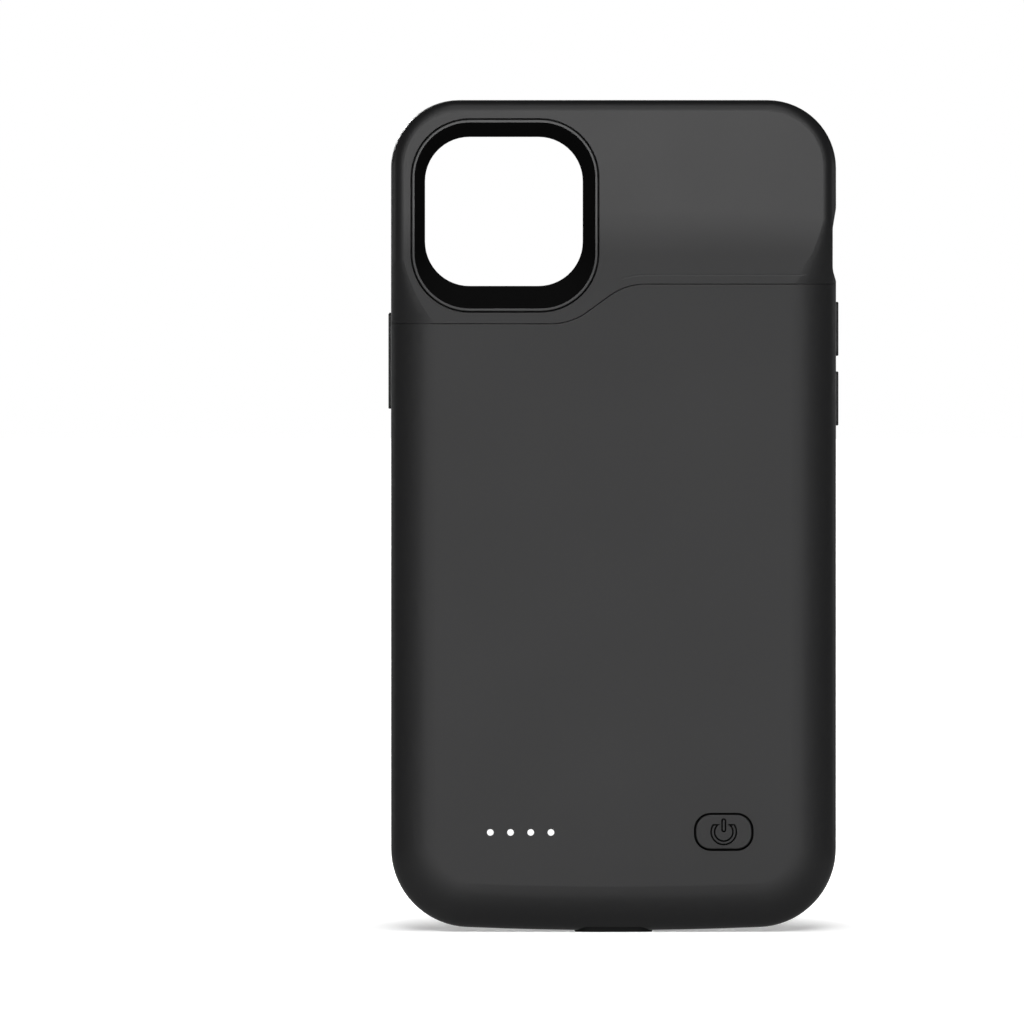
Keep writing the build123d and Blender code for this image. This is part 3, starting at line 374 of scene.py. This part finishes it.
def new_group(name, inputs, outputs):
    group = bpy.data.node_groups.new(name, "ShaderNodeTree")
    for socket_name, kind, default in inputs:
        socket = group.interface.new_socket(socket_name, in_out="INPUT", socket_type=kind)
        if default is not None:
            socket.default_value = default
    for socket_name, kind in outputs:
        group.interface.new_socket(socket_name, in_out="OUTPUT", socket_type=kind)
    return group, group.nodes.new("NodeGroupInput"), group.nodes.new("NodeGroupOutput")


def moulded_grain_group():
    """Fine spark-eroded grain: a height for bump and a roughness that wanders with handling."""
    name = "Moulded grain"
    if name in bpy.data.node_groups:
        return bpy.data.node_groups[name]
    group, source, result = new_group(
        name,
        [
            ("Position", "NodeSocketVector", None),
            ("Grain Scale", "NodeSocketFloat", 6000.0),
            ("Roughness", "NodeSocketFloat", 0.45),
            ("Spread", "NodeSocketFloat", 0.05),
        ],
        [("Height", "NodeSocketFloat"), ("Roughness", "NodeSocketFloat")],
    )
    link = group.links.new
    fine = add_node(group, "ShaderNodeTexNoise", {"Detail": 3.0, "Roughness": 0.6})
    pits = add_node(group, "ShaderNodeTexVoronoi", {"Randomness": 1.0}, feature="SMOOTH_F1")
    handling = add_node(group, "ShaderNodeTexNoise", {"Scale": 45.0, "Detail": 4.0, "Roughness": 0.55})
    for texture in (fine, pits, handling):
        link(source.outputs["Position"], texture.inputs["Vector"])
    link(source.outputs["Grain Scale"], fine.inputs["Scale"])
    link(math_node(group, "MULTIPLY", source.outputs["Grain Scale"], PIT_SCALE), pits.inputs["Scale"])
    hollows = math_node(group, "MULTIPLY", pits.outputs["Distance"], PIT_DEPTH)
    link(math_node(group, "ADD", fine.outputs["Fac"], hollows), result.inputs["Height"])
    wander = math_node(group, "SUBTRACT", handling.outputs["Fac"], NOISE_MEAN)
    spread = math_node(group, "MULTIPLY", wander, source.outputs["Spread"])
    flicker = math_node(group, "SUBTRACT", fine.outputs["Fac"], NOISE_MEAN)
    fleck = math_node(group, "MULTIPLY", flicker, FLECK)
    handled = math_node(group, "ADD", source.outputs["Roughness"], spread)
    link(math_node(group, "ADD", handled, fleck), result.inputs["Roughness"])
    return group


def colour_mottle_group():
    """Slight unevenness of pigment and a trace of dust, for plastics, metals and paper."""
    name = "Colour mottle"
    if name in bpy.data.node_groups:
        return bpy.data.node_groups[name]
    group, source, result = new_group(
        name,
        [
            ("Position", "NodeSocketVector", None),
            ("Colour", "NodeSocketColor", (0.02, 0.02, 0.02, 1.0)),
            ("Amount", "NodeSocketFloat", 0.08),
            ("Dust", "NodeSocketFloat", 0.01),
        ],
        [("Colour", "NodeSocketColor")],
    )
    link = group.links.new
    cloud = add_node(group, "ShaderNodeTexNoise", {"Scale": 90.0, "Detail": 5.0, "Roughness": 0.6})
    specks = add_node(group, "ShaderNodeTexNoise", {"Scale": 2600.0, "Detail": 2.0})
    link(source.outputs["Position"], cloud.inputs["Vector"])
    link(source.outputs["Position"], specks.inputs["Vector"])
    wander = math_node(group, "SUBTRACT", cloud.outputs["Fac"], NOISE_MEAN)
    uneven = math_node(group, "MULTIPLY", wander, source.outputs["Amount"])
    toned = add_node(group, "ShaderNodeVectorMath", operation="SCALE")
    link(source.outputs["Colour"], toned.inputs[0])
    link(math_node(group, "ADD", uneven, 1.0), toned.inputs["Scale"])
    grains = map_range(group, specks.outputs["Fac"], DUST_START, DUST_FULL)
    dust = add_node(group, "ShaderNodeMix", {"B": DUST_COLOUR}, data_type="RGBA")
    link(math_node(group, "MULTIPLY", grains, source.outputs["Dust"]), dust.inputs["Factor"])
    link(toned.outputs["Vector"], dust.inputs["A"])
    link(dust.outputs["Result"], result.inputs["Colour"])
    return group


def drawn_streaks_group():
    """Streaks left by rolling or drawing, along Z."""
    name = "Drawn streaks"
    if name in bpy.data.node_groups:
        return bpy.data.node_groups[name]
    group, source, result = new_group(
        name,
        [
            ("Position", "NodeSocketVector", None),
            ("Roughness", "NodeSocketFloat", 0.3),
            ("Spread", "NodeSocketFloat", METAL_SPREAD),
        ],
        [("Height", "NodeSocketFloat"), ("Roughness", "NodeSocketFloat")],
    )
    link = group.links.new
    stretch = add_node(group, "ShaderNodeMapping", {"Scale": STREAK_SCALE})
    streaks = add_node(group, "ShaderNodeTexNoise", {"Scale": 1.0, "Detail": 4.0, "Roughness": 0.6})
    link(source.outputs["Position"], stretch.inputs["Vector"])
    link(stretch.outputs["Vector"], streaks.inputs["Vector"])
    wander = math_node(group, "SUBTRACT", streaks.outputs["Fac"], NOISE_MEAN)
    spread = math_node(group, "MULTIPLY", wander, source.outputs["Spread"])
    link(math_node(group, "ADD", source.outputs["Roughness"], spread), result.inputs["Roughness"])
    link(streaks.outputs["Fac"], result.inputs["Height"])
    return group


def new_material(name):
    material = bpy.data.materials.new(name)
    material.use_nodes = True
    tree = material.node_tree
    shader = next(node for node in tree.nodes if node.type == "BSDF_PRINCIPLED")
    place = add_node(tree, "ShaderNodeTexCoord").outputs["Object"]
    return material, tree, shader, place


def add_group(tree, group, place, inputs):
    node = add_node(tree, "ShaderNodeGroup", node_tree=group)
    for name, value in inputs.items():
        node.inputs[name].default_value = value
    tree.links.new(place, node.inputs["Position"])
    return node


def add_bump(tree, shader, height, depth):
    bump = add_node(tree, "ShaderNodeBump", {"Strength": 1.0, "Distance": depth})
    tree.links.new(height, bump.inputs["Height"])
    tree.links.new(bump.outputs["Normal"], shader.inputs["Normal"])


def opaque(colour_value):
    return (*colour_value, 1.0)


def moulded_material(name, base, roughness, grain_size, grain_depth, specular=0.5, dust=0.01, spread=0.05):
    """Moulded plastic, lacquer or paint with fine grain."""
    material, tree, shader, place = new_material(name)
    look = {"Grain Scale": 1.0 / grain_size, "Roughness": roughness, "Spread": spread}
    grain = add_group(tree, moulded_grain_group(), place, look)
    tone = {"Colour": opaque(base), "Amount": PLASTIC_MOTTLE, "Dust": dust}
    mottle = add_group(tree, colour_mottle_group(), place, tone)
    tree.links.new(mottle.outputs["Colour"], shader.inputs["Base Color"])
    tree.links.new(grain.outputs["Roughness"], shader.inputs["Roughness"])
    shader.inputs["Specular IOR Level"].default_value = specular
    add_bump(tree, shader, grain.outputs["Height"], grain_depth)
    return material


def bezel_material(settings):
    """Black bezel: a matt funnel with a polished bead, which is the part that faces straight back; the bead's
    lighter colour there is a painted highlight.
    """
    material, tree, shader, place = new_material("bezel")
    link = tree.links.new
    look = {"Grain Scale": BEZEL_FINENESS / settings.grain_size, "Spread": BEZEL_SPREAD}
    grain = add_group(tree, moulded_grain_group(), place, look)
    mottle = add_group(tree, colour_mottle_group(), place, {"Amount": PLASTIC_MOTTLE, "Dust": 0.0})
    facing = split(tree, add_node(tree, "ShaderNodeTexCoord").outputs["Normal"])
    bead_polish_and_highlight = map_range(tree, facing["Y"], BEAD_START, BEAD_FULL)
    # The lighter colour on the part facing straight back is a painted highlight; the polish below is the
    # bead's finish
    tones = {"A": opaque(settings.bezel_colour), "B": opaque(settings.bead_highlight_colour)}
    tone = add_node(tree, "ShaderNodeMix", tones, data_type="RGBA")
    link(bead_polish_and_highlight, tone.inputs["Factor"])
    link(tone.outputs["Result"], mottle.inputs["Colour"])
    finish = add_node(tree, "ShaderNodeMix", {"A": settings.bezel_roughness, "B": settings.bead_roughness})
    link(bead_polish_and_highlight, finish.inputs["Factor"])
    link(finish.outputs["Result"], grain.inputs["Roughness"])
    link(mottle.outputs["Colour"], shader.inputs["Base Color"])
    link(grain.outputs["Roughness"], shader.inputs["Roughness"])
    link(math_node(tree, "MULTIPLY", bead_polish_and_highlight, settings.bead_coat), shader.inputs["Coat Weight"])
    shader.inputs["Coat Roughness"].default_value = settings.bead_roughness
    shader.inputs["Specular IOR Level"].default_value = settings.bezel_gloss
    add_bump(tree, shader, grain.outputs["Height"], settings.grain_depth * BEZEL_RELIEF)
    return material


def metal_material(name, base, roughness, depth=METAL_RELIEF, spread=METAL_SPREAD):
    """Rolled or drawn metal."""
    material, tree, shader, place = new_material(name)
    streaks = add_group(tree, drawn_streaks_group(), place, {"Roughness": roughness, "Spread": spread})
    tone = {"Colour": opaque(base), "Amount": METAL_MOTTLE, "Dust": 0.0}
    mottle = add_group(tree, colour_mottle_group(), place, tone)
    tree.links.new(mottle.outputs["Colour"], shader.inputs["Base Color"])
    tree.links.new(streaks.outputs["Roughness"], shader.inputs["Roughness"])
    shader.inputs["Metallic"].default_value = 1.0
    add_bump(tree, shader, streaks.outputs["Height"], depth)
    return material


def light_material(settings, grain_size):
    """Milky light guide with a white glow."""
    material, tree, shader, place = new_material("light guide")
    look = {"Grain Scale": GUIDE_FINENESS / grain_size, "Roughness": GUIDE_ROUGHNESS, "Spread": GUIDE_SPREAD}
    surface = add_group(tree, moulded_grain_group(), place, look)
    for tone, socket in ((opaque(settings.light_colour), "Base Color"), (WHITE, "Emission Color")):
        haze = {"Colour": tone, "Amount": LIGHT_MOTTLE, "Dust": 0.0}
        mottle = add_group(tree, colour_mottle_group(), place, haze)
        tree.links.new(mottle.outputs["Colour"], shader.inputs[socket])
    tree.links.new(surface.outputs["Roughness"], shader.inputs["Roughness"])
    shader.inputs["Emission Strength"].default_value = settings.light_glow
    add_bump(tree, shader, surface.outputs["Height"], GUIDE_RELIEF)
    return material


def dress(material, *names):
    for name in names:
        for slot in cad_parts[name].material_slots:
            slot.link = "OBJECT"
            slot.material = material


def dress_plastics(scene, rows):
    housing = scene.case_housing
    for name, setting, roughness, grain_times, relief_times, nodes in rows:
        base = getattr(scene.case_inside, setting)
        grain = housing.grain_size * grain_times
        relief = housing.grain_depth * relief_times
        dress(moulded_material(name, base, roughness, grain, relief, dust=0.0), *nodes)


def dress_metals(scene, rows):
    for name, setting, roughness, relief, spread, nodes in rows:
        base = getattr(scene.case_inside, setting)
        dress(metal_material(name, base, roughness, relief, spread), *nodes)


def new_piece(name, shape, material, body):
    mesh = bpy.data.meshes.new(name)
    bmesh.ops.recalc_face_normals(shape, faces=shape.faces)
    shape.to_mesh(mesh)
    shape.free()
    mesh.materials.append(material)
    piece = bpy.data.objects.new(name, mesh)
    bpy.context.scene.collection.objects.link(piece)
    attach(piece, body)
    return piece


def arc_points(radius, start, end, count, centre=(0.0, 0.0)):
    turns = [start + (end - start) * step / count for step in range(count + 1)]
    return [(centre[0] + radius * cos(turn), centre[1] + radius * sin(turn)) for turn in turns]


def ring_outline(settings, grow, count=48):
    """Closed outline of the open ring of the power sign, grown by a length."""
    outer = settings.sign_radius + settings.sign_stroke / 2 + grow
    inner = settings.sign_radius - settings.sign_stroke / 2 - grow
    top = settings.sign_ring_top + grow
    outer_end, inner_end = asin(top / outer), asin(top / inner)
    return arc_points(outer, pi - outer_end, 2 * pi + outer_end, count) + arc_points(
        inner, 2 * pi + inner_end, pi - inner_end, count
    )


def bar_outline(settings, grow, count=10):
    """Closed outline of the bar of the power sign, grown by a length."""
    half_width = settings.sign_stroke / 2 + grow
    reach = settings.sign_bar / 2 + grow - half_width
    rise = settings.sign_bar_rise
    return arc_points(half_width, 0.0, pi, count, (0.0, rise + reach)) + arc_points(
        half_width, pi, 2 * pi, count, (0.0, rise - reach)
    )


def rounded_outline(half_width, half_height, radius, count=10):
    """Closed outline of a rectangle with rounded corners."""
    points = []
    for turn, (side, end) in enumerate(((1, 1), (-1, 1), (-1, -1), (1, -1))):
        middle = (side * (half_width - radius), end * (half_height - radius))
        points += arc_points(radius, turn * pi / 2, (turn + 1) * pi / 2, count, middle)
    return points


def add_band(shape, outer, inner, centre, face_y, thickness):
    """Closed, slightly hollow band between two outlines with as many points, facing -Y."""
    rings = []
    for (outer_x, outer_z), (inner_x, inner_z) in zip(outer, inner):
        corners = [
            (outer_x, face_y + thickness, outer_z),
            (outer_x, face_y, outer_z),
            ((outer_x + inner_x) / 2, face_y + thickness * BAND_HOLLOW, (outer_z + inner_z) / 2),
            (inner_x, face_y, inner_z),
            (inner_x, face_y + thickness, inner_z),
        ]
        rings.append([shape.verts.new((centre.x + x, y, centre.z + z)) for x, y, z in corners])
    for ring, following in zip(rings, rings[1:] + rings[:1]):
        for step in range(len(ring)):
            after = (step + 1) % len(ring)
            shape.faces.new((ring[step], ring[after], following[after], following[step]))


def add_pad(shape, low, high, bevel):
    """Small plate with bevelled edges."""
    made = bmesh.ops.create_cube(shape, size=1.0)["verts"]
    for vert in made:
        vert.co = Vector([high[axis] if vert.co[axis] > 0 else low[axis] for axis in range(3)])
    edges = {edge for vert in made for edge in vert.link_edges}
    bmesh.ops.bevel(shape, geom=list(edges), offset=bevel, segments=2, affect="EDGES", profile=0.5)


class CHARGING_CASE_OT_housing(bpy.types.Operator):
    """Finish the bumper frame, the back shell and the tray"""

    bl_idname = "charging_case.housing"
    bl_label = "Housing"

    def execute(self, context):
        settings = context.scene.case_housing
        grain = settings.grain_size
        depth = settings.grain_depth
        gloss = settings.gloss
        soft = moulded_material(
            "soft frame", settings.soft_colour, settings.soft_roughness, grain, depth, specular=gloss
        )
        shell = moulded_material(
            "back shell", settings.shell_colour, settings.shell_roughness, grain, depth, specular=gloss
        )
        tray = moulded_material(
            "tray",
            settings.tray_colour,
            settings.tray_roughness,
            grain * TRAY_GRAIN,
            depth * TRAY_RELIEF,
            specular=TRAY_GLOSS,
            dust=TRAY_DUST,
        )
        dress(soft, "bumper_frame")
        dress(shell, "back_shell")
        dress(tray, "inner_tray")
        return {"FINISHED"}


class CHARGING_CASE_OT_bezel(bpy.types.Operator):
    """Finish the camera bezel and the collar of the charging socket"""

    bl_idname = "charging_case.bezel"
    bl_label = "Camera bezel and collar"

    def execute(self, context):
        settings = context.scene.case_housing
        collar = moulded_material(
            "collar",
            settings.bezel_colour,
            settings.bezel_roughness,
            settings.grain_size,
            settings.grain_depth,
            specular=settings.collar_gloss,
            dust=0.0,
        )
        dress(bezel_material(settings), "camera_bezel")
        dress(collar, "port_collar")
        return {"FINISHED"}


class CHARGING_CASE_OT_keys(bpy.types.Operator):
    """Finish the two volume keys and the side key"""

    bl_idname = "charging_case.keys"
    bl_label = "Side keys"

    def execute(self, context):
        settings = context.scene.case_housing
        key = moulded_material(
            "side keys",
            settings.key_colour,
            settings.soft_roughness,
            settings.grain_size * KEY_GRAIN,
            settings.grain_depth,
            specular=settings.gloss,
            spread=KEY_SPREAD,
        )
        dress(key, "volume_up_key", "volume_down_key", "side_key")
        return {"FINISHED"}


class CHARGING_CASE_OT_power_button(bpy.types.Operator):
    """Finish the power button, fill the lines of its sign with painted shade and put a dark ring of painted
    shade in the gap around it
    """

    bl_idname = "charging_case.power_button"
    bl_label = "Power button"

    def execute(self, context):
        housing = context.scene.case_housing
        settings = context.scene.case_button
        button = moulded_material(
            "power button",
            housing.shell_colour,
            housing.shell_roughness,
            housing.grain_size * KEY_GRAIN,
            housing.grain_depth,
            specular=housing.gloss,
            spread=KEY_SPREAD,
        )
        dress(button, "power_button")
        low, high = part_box("power_button")
        self.add_sign_shade(housing, settings, low, high)
        self.add_gap_shade_ring(housing, settings, low, high)
        return {"FINISHED"}

    def add_sign_shade(self, housing, settings, low, high):
        # Near-black fill at the bottom of the engraved lines of the sign: painted shade in the recess
        paper_and_sign_shade = moulded_material(
            "sign paint",
            settings.sign_shade_colour,
            SIGN_ROUGHNESS,
            housing.grain_size * SIGN_GRAIN,
            housing.grain_depth,
            specular=MATT_GLOSS,
            dust=0.0,
        )
        face_y = low.y + settings.sign_depth - settings.sign_shade_thickness
        half_line = settings.sign_line / 2 * SIGN_SHADE_FIT
        shape = bmesh.new()
        for outline in (ring_outline, bar_outline):
            add_band(
                shape,
                outline(settings, half_line),
                outline(settings, -half_line),
                (low + high) / 2,
                face_y,
                settings.sign_shade_thickness * SIGN_SHADE_FILL,
            )
        new_piece("sign_paint", shape, paper_and_sign_shade, "power_button")

    # Near-black ring in the gap round the button, on its hidden flange: painted shade in the gap
    def add_gap_shade_ring(self, housing, settings, low, high):
        gap_shade_material = moulded_material(
            "button seal",
            settings.gap_shade_colour,
            GAP_SHADE_ROUGHNESS,
            housing.grain_size,
            housing.grain_depth,
            specular=MATT_GLOSS,
            dust=0.0,
        )
        half_width = (high.x - low.x) / 2 - settings.flange_lip
        half_height = (high.z - low.z) / 2 - settings.flange_lip
        inner = settings.gap_shade_clear
        outer = inner + settings.gap_shade_width
        ring = bmesh.new()
        add_band(
            ring,
            rounded_outline(half_width + outer, half_height + outer, settings.button_radius + outer),
            rounded_outline(half_width + inner, half_height + inner, settings.button_radius + inner),
            (low + high) / 2,
            low.y + settings.flange_depth - settings.gap_shade_thickness,
            settings.gap_shade_thickness,
        )
        new_piece("button_seal", ring, gap_shade_material, "power_button")


class CHARGING_CASE_OT_lights(bpy.types.Operator):
    """Finish the charge lights"""

    bl_idname = "charging_case.lights"
    bl_label = "Charge lights"

    def execute(self, context):
        scene = context.scene
        dress(light_material(scene.case_button, scene.case_housing.grain_size), "light_guide")
        dress_plastics(scene, LIGHT_PLASTICS)
        return {"FINISHED"}


class CHARGING_CASE_OT_connectors(bpy.types.Operator):
    """Finish the charging socket and the plug and add their contacts"""

    bl_idname = "charging_case.connectors"
    bl_label = "Socket and plug"

    def execute(self, context):
        scene = context.scene
        settings = scene.case_contacts
        housing = scene.case_housing
        dress_metals(scene, CONNECTOR_METALS)
        dress_plastics(scene, CONNECTOR_PLASTICS)
        base = moulded_material(
            "plug base",
            scene.case_inside.base_colour,
            BASE_ROUGHNESS,
            housing.grain_size,
            housing.grain_depth,
        )
        dress(base, "plug_base")
        gold = metal_material(
            "contact plating", settings.contact_colour, PLATING_ROUGHNESS, spread=PLATING_SPREAD
        )
        low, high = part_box("socket_tongue")
        start = low.z + settings.tongue_clear
        self.add_contacts(
            settings,
            "socket_contacts",
            gold,
            (low.y + high.y) / 2,
            settings.tongue_thickness / 2,
            (start, start + settings.tongue_contact),
        )
        low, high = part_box("plug_insert")
        end = high.z - settings.mouth_clear
        self.add_contacts(
            settings,
            "plug_contacts",
            gold,
            (low.y + high.y) / 2,
            settings.mouth_thickness / 2,
            (end - settings.mouth_contact, end),
        )
        return {"FINISHED"}

    def add_contacts(self, settings, name, material, middle, half, span):
        """Two rows of flat contacts, on either side of a middle plane."""
        shape = bmesh.new()
        half_width = settings.contact_width / 2
        for step in range(settings.contact_count):
            x = (step - (settings.contact_count - 1) / 2) * settings.contact_pitch
            for y in (middle - half, middle + half):
                add_pad(
                    shape,
                    (x - half_width, y - settings.contact_thickness, span[0]),
                    (x + half_width, y + settings.contact_thickness, span[1]),
                    settings.contact_thickness * CONTACT_BEVEL,
                )
        new_piece(name, shape, material, "case")


class CHARGING_CASE_OT_electronics(bpy.types.Operator):
    """Finish the boards, chips, switch and screws inside the case"""

    bl_idname = "charging_case.electronics"
    bl_label = "Electronics"

    def execute(self, context):
        dress_plastics(context.scene, ELECTRONIC_PLASTICS)
        dress_metals(context.scene, ELECTRONIC_METALS)
        return {"FINISHED"}


class CHARGING_CASE_OT_battery(bpy.types.Operator):
    """Finish the battery cell, its tabs, its leads and its adhesive"""

    bl_idname = "charging_case.battery"
    bl_label = "Battery"

    def execute(self, context):
        dress_metals(context.scene, BATTERY_METALS)
        dress_plastics(context.scene, BATTERY_PLASTICS)
        return {"FINISHED"}


def floor_material(colour_value):
    """Pale floor that shows white to the camera and in gloss, and keeps the shadow."""
    material = bpy.data.materials.new("studio floor")
    material.use_nodes = True
    tree = material.node_tree
    tree.nodes.clear()
    link = tree.links.new
    place = add_node(tree, "ShaderNodeTexCoord").outputs["Object"]
    tone = {"Colour": opaque(colour_value), "Amount": PAPER_MOTTLE, "Dust": 0.0}
    paper = add_group(tree, colour_mottle_group(), place, tone)
    paper_and_sign_shade = add_node(tree, "ShaderNodeBsdfDiffuse", {"Roughness": PAPER_ROUGHNESS})
    link(paper.outputs["Colour"], paper_and_sign_shade.inputs["Color"])
    from_middle = add_node(tree, "ShaderNodeVectorMath", operation="LENGTH")
    link(place, from_middle.inputs[0])
    distance = from_middle.outputs["Value"]
    across = split(tree, place)
    behind = map_range(tree, across["Y"], BEHIND_START, BEHIND_FULL, smooth=True)
    near = map_range(tree, distance, STRIP_START, STRIP_END, 1.0, 0.0)
    sideways = math_node(tree, "ABSOLUTE", across["X"])
    middle = map_range(tree, sideways, STRIP_HALF, STRIP_SIDE, 1.0, 0.0)
    strip = math_node(tree, "MULTIPLY", near, middle)
    mirrored = math_node(tree, "MAXIMUM", behind, strip)
    ray = add_node(tree, "ShaderNodeLightPath").outputs
    glossy = math_node(tree, "MULTIPLY", ray["Is Glossy Ray"], mirrored)
    seen = math_node(tree, "MAXIMUM", ray["Is Camera Ray"], ray["Is Transmission Ray"])
    shown = math_node(tree, "MAXIMUM", seen, glossy)
    bright = map_range(tree, distance, GLOW_START, GLOW_FULL, FOOT_GLOW, 1.0)
    glow = add_node(tree, "ShaderNodeEmission", {"Color": WHITE})
    link(math_node(tree, "MULTIPLY", shown, bright), glow.inputs["Strength"])
    both = add_node(tree, "ShaderNodeAddShader")
    link(paper_and_sign_shade.outputs["BSDF"], both.inputs[0])
    link(glow.outputs["Emission"], both.inputs[1])
    link(both.outputs["Shader"], add_node(tree, "ShaderNodeOutputMaterial").inputs["Surface"])
    return material


def studio_world():
    """White backdrop behind the case and a dim, soft room for everything else."""
    world = bpy.data.worlds.new("studio")
    world.use_nodes = True
    tree = world.node_tree
    tree.nodes.clear()
    link = tree.links.new
    towards = split(tree, add_node(tree, "ShaderNodeTexCoord").outputs["Generated"])
    room = map_range(tree, towards["Z"], ROOM_BOTTOM, ROOM_TOP, BOTTOM_STRENGTH, TOP_STRENGTH)
    backdrop = map_range(tree, towards["Y"], BACKDROP_START, BACKDROP_FULL, smooth=True)
    ray = add_node(tree, "ShaderNodeLightPath").outputs
    bounced = math_node(tree, "MAXIMUM", ray["Is Glossy Ray"], ray["Is Transmission Ray"])
    mirrored = math_node(tree, "MULTIPLY", bounced, backdrop)
    level = add_node(tree, "ShaderNodeMix", {"B": 1.0}, data_type="FLOAT")
    link(math_node(tree, "MAXIMUM", ray["Is Camera Ray"], mirrored), level.inputs["Factor"])
    link(room, level.inputs["A"])
    sky = add_node(tree, "ShaderNodeBackground", {"Color": WHITE})
    link(level.outputs["Result"], sky.inputs["Strength"])
    link(sky.outputs["Background"], add_node(tree, "ShaderNodeOutputWorld").inputs["Surface"])
    return world


def aim(item, target):
    item.rotation_euler = (target - item.location).to_track_quat("-Z", "Y").to_euler()


def add_softbox(name, watts, width, height, azimuth, elevation, distance, target):
    """Rectangular lamp; azimuth 0 stands in front of the back face, elevation is above level."""
    lamp = bpy.data.lights.new(name, "AREA")
    lamp.shape = "RECTANGLE"
    lamp.size = width
    lamp.size_y = height
    lamp.energy = watts
    item = bpy.data.objects.new(name, lamp)
    bpy.context.scene.collection.objects.link(item)
    level = distance * cos(elevation)
    away = Vector((level * sin(azimuth), -level * cos(azimuth), distance * sin(elevation)))
    item.location = target + away
    aim(item, target)
    item.visible_camera = False


class CHARGING_CASE_OT_stage(bpy.types.Operator):
    """Set up the floor, the lamps and the camera"""

    bl_idname = "charging_case.stage"
    bl_label = "Stage"

    def execute(self, context):
        scene = context.scene
        settings = scene.case_stage
        self.add_floor(scene, settings)
        scene.world = studio_world()
        scene.view_settings.view_transform = "Standard"
        centre = (cad_low + cad_high) / 2
        for name, setting, width, height, azimuth, elevation, distance in SOFTBOXES:
            watts = getattr(settings, setting)
            turn = radians(azimuth)
            rise = radians(elevation)
            add_softbox(name, watts, width, height, turn, rise, distance, centre)
        self.add_camera(scene, settings)
        return {"FINISHED"}

    def add_floor(self, scene, settings):
        half = settings.floor_half
        corners = [(-half, -half), (half, -half), (half, half), (-half, half)]
        mesh = bpy.data.meshes.new("studio_floor")
        mesh.from_pydata([(x, y, cad_low.z) for x, y in corners], [], [(0, 1, 2, 3)])
        mesh.materials.append(floor_material(settings.floor_colour))
        floor = bpy.data.objects.new("studio_floor", mesh)
        scene.collection.objects.link(floor)

    def add_camera(self, scene, settings):
        scale = settings.picture_scale / MILLIMETRE
        lens = bpy.data.cameras.new("camera")
        lens.sensor_width = SENSOR_WIDTH
        lens.lens = SENSOR_WIDTH * settings.camera_distance * scale / PICTURE_SIDE
        lens.clip_end = FAR_LIMIT
        camera = bpy.data.objects.new("camera", lens)
        scene.collection.objects.link(camera)
        target = Vector(
            (
                (PICTURE_SIDE / 2 - settings.centre_pixel) / scale,
                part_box("back_shell")[0].y + settings.focus_depth,
                (settings.ground_pixel - PICTURE_SIDE / 2) / scale,
            )
        )
        rise = settings.camera_elevation
        camera.location = target + settings.camera_distance * Vector((0.0, -cos(rise), sin(rise)))
        aim(camera, target)
        scene.camera = camera


class CHARGING_CASE_PT_panel(bpy.types.Panel):
    """Pieces of the charging case"""

    bl_idname = "CHARGING_CASE_PT_panel"
    bl_label = "Charging case"
    bl_space_type = "VIEW_3D"
    bl_region_type = "UI"
    bl_category = "Charging case"

    def draw(self, context):
        for operator in OPERATORS:
            self.layout.operator(operator.bl_idname)
        for holder in SETTINGS:
            box = self.layout.box()
            group = getattr(context.scene, holder)
            for name in group.bl_rna.properties.keys():
                if name not in ("rna_type", "name"):
                    box.prop(group, name)


OPERATORS = (
    CHARGING_CASE_OT_housing,
    CHARGING_CASE_OT_bezel,
    CHARGING_CASE_OT_keys,
    CHARGING_CASE_OT_power_button,
    CHARGING_CASE_OT_lights,
    CHARGING_CASE_OT_connectors,
    CHARGING_CASE_OT_electronics,
    CHARGING_CASE_OT_battery,
    CHARGING_CASE_OT_stage,
)
SETTINGS = {
    "case_housing": CaseHousingSettings,
    "case_button": CaseButtonSettings,
    "case_contacts": CaseContactSettings,
    "case_inside": CaseInsideSettings,
    "case_stage": CaseStageSettings,
}


def register():
    for group in SETTINGS.values():
        bpy.utils.register_class(group)
    for operator in OPERATORS:
        bpy.utils.register_class(operator)
    bpy.utils.register_class(CHARGING_CASE_PT_panel)
    for name, group in SETTINGS.items():
        setattr(bpy.types.Scene, name, PointerProperty(type=group))


def unregister():
    for name in SETTINGS:
        delattr(bpy.types.Scene, name)
    bpy.utils.unregister_class(CHARGING_CASE_PT_panel)
    for operator in reversed(OPERATORS):
        bpy.utils.unregister_class(operator)
    for group in reversed(list(SETTINGS.values())):
        bpy.utils.unregister_class(group)


def main():
    register()
    bpy.ops.charging_case.housing()
    bpy.ops.charging_case.bezel()
    bpy.ops.charging_case.keys()
    bpy.ops.charging_case.power_button()
    bpy.ops.charging_case.lights()
    bpy.ops.charging_case.connectors()
    bpy.ops.charging_case.electronics()
    bpy.ops.charging_case.battery()
    bpy.ops.charging_case.stage()


if __name__ == "__main__":
    main()
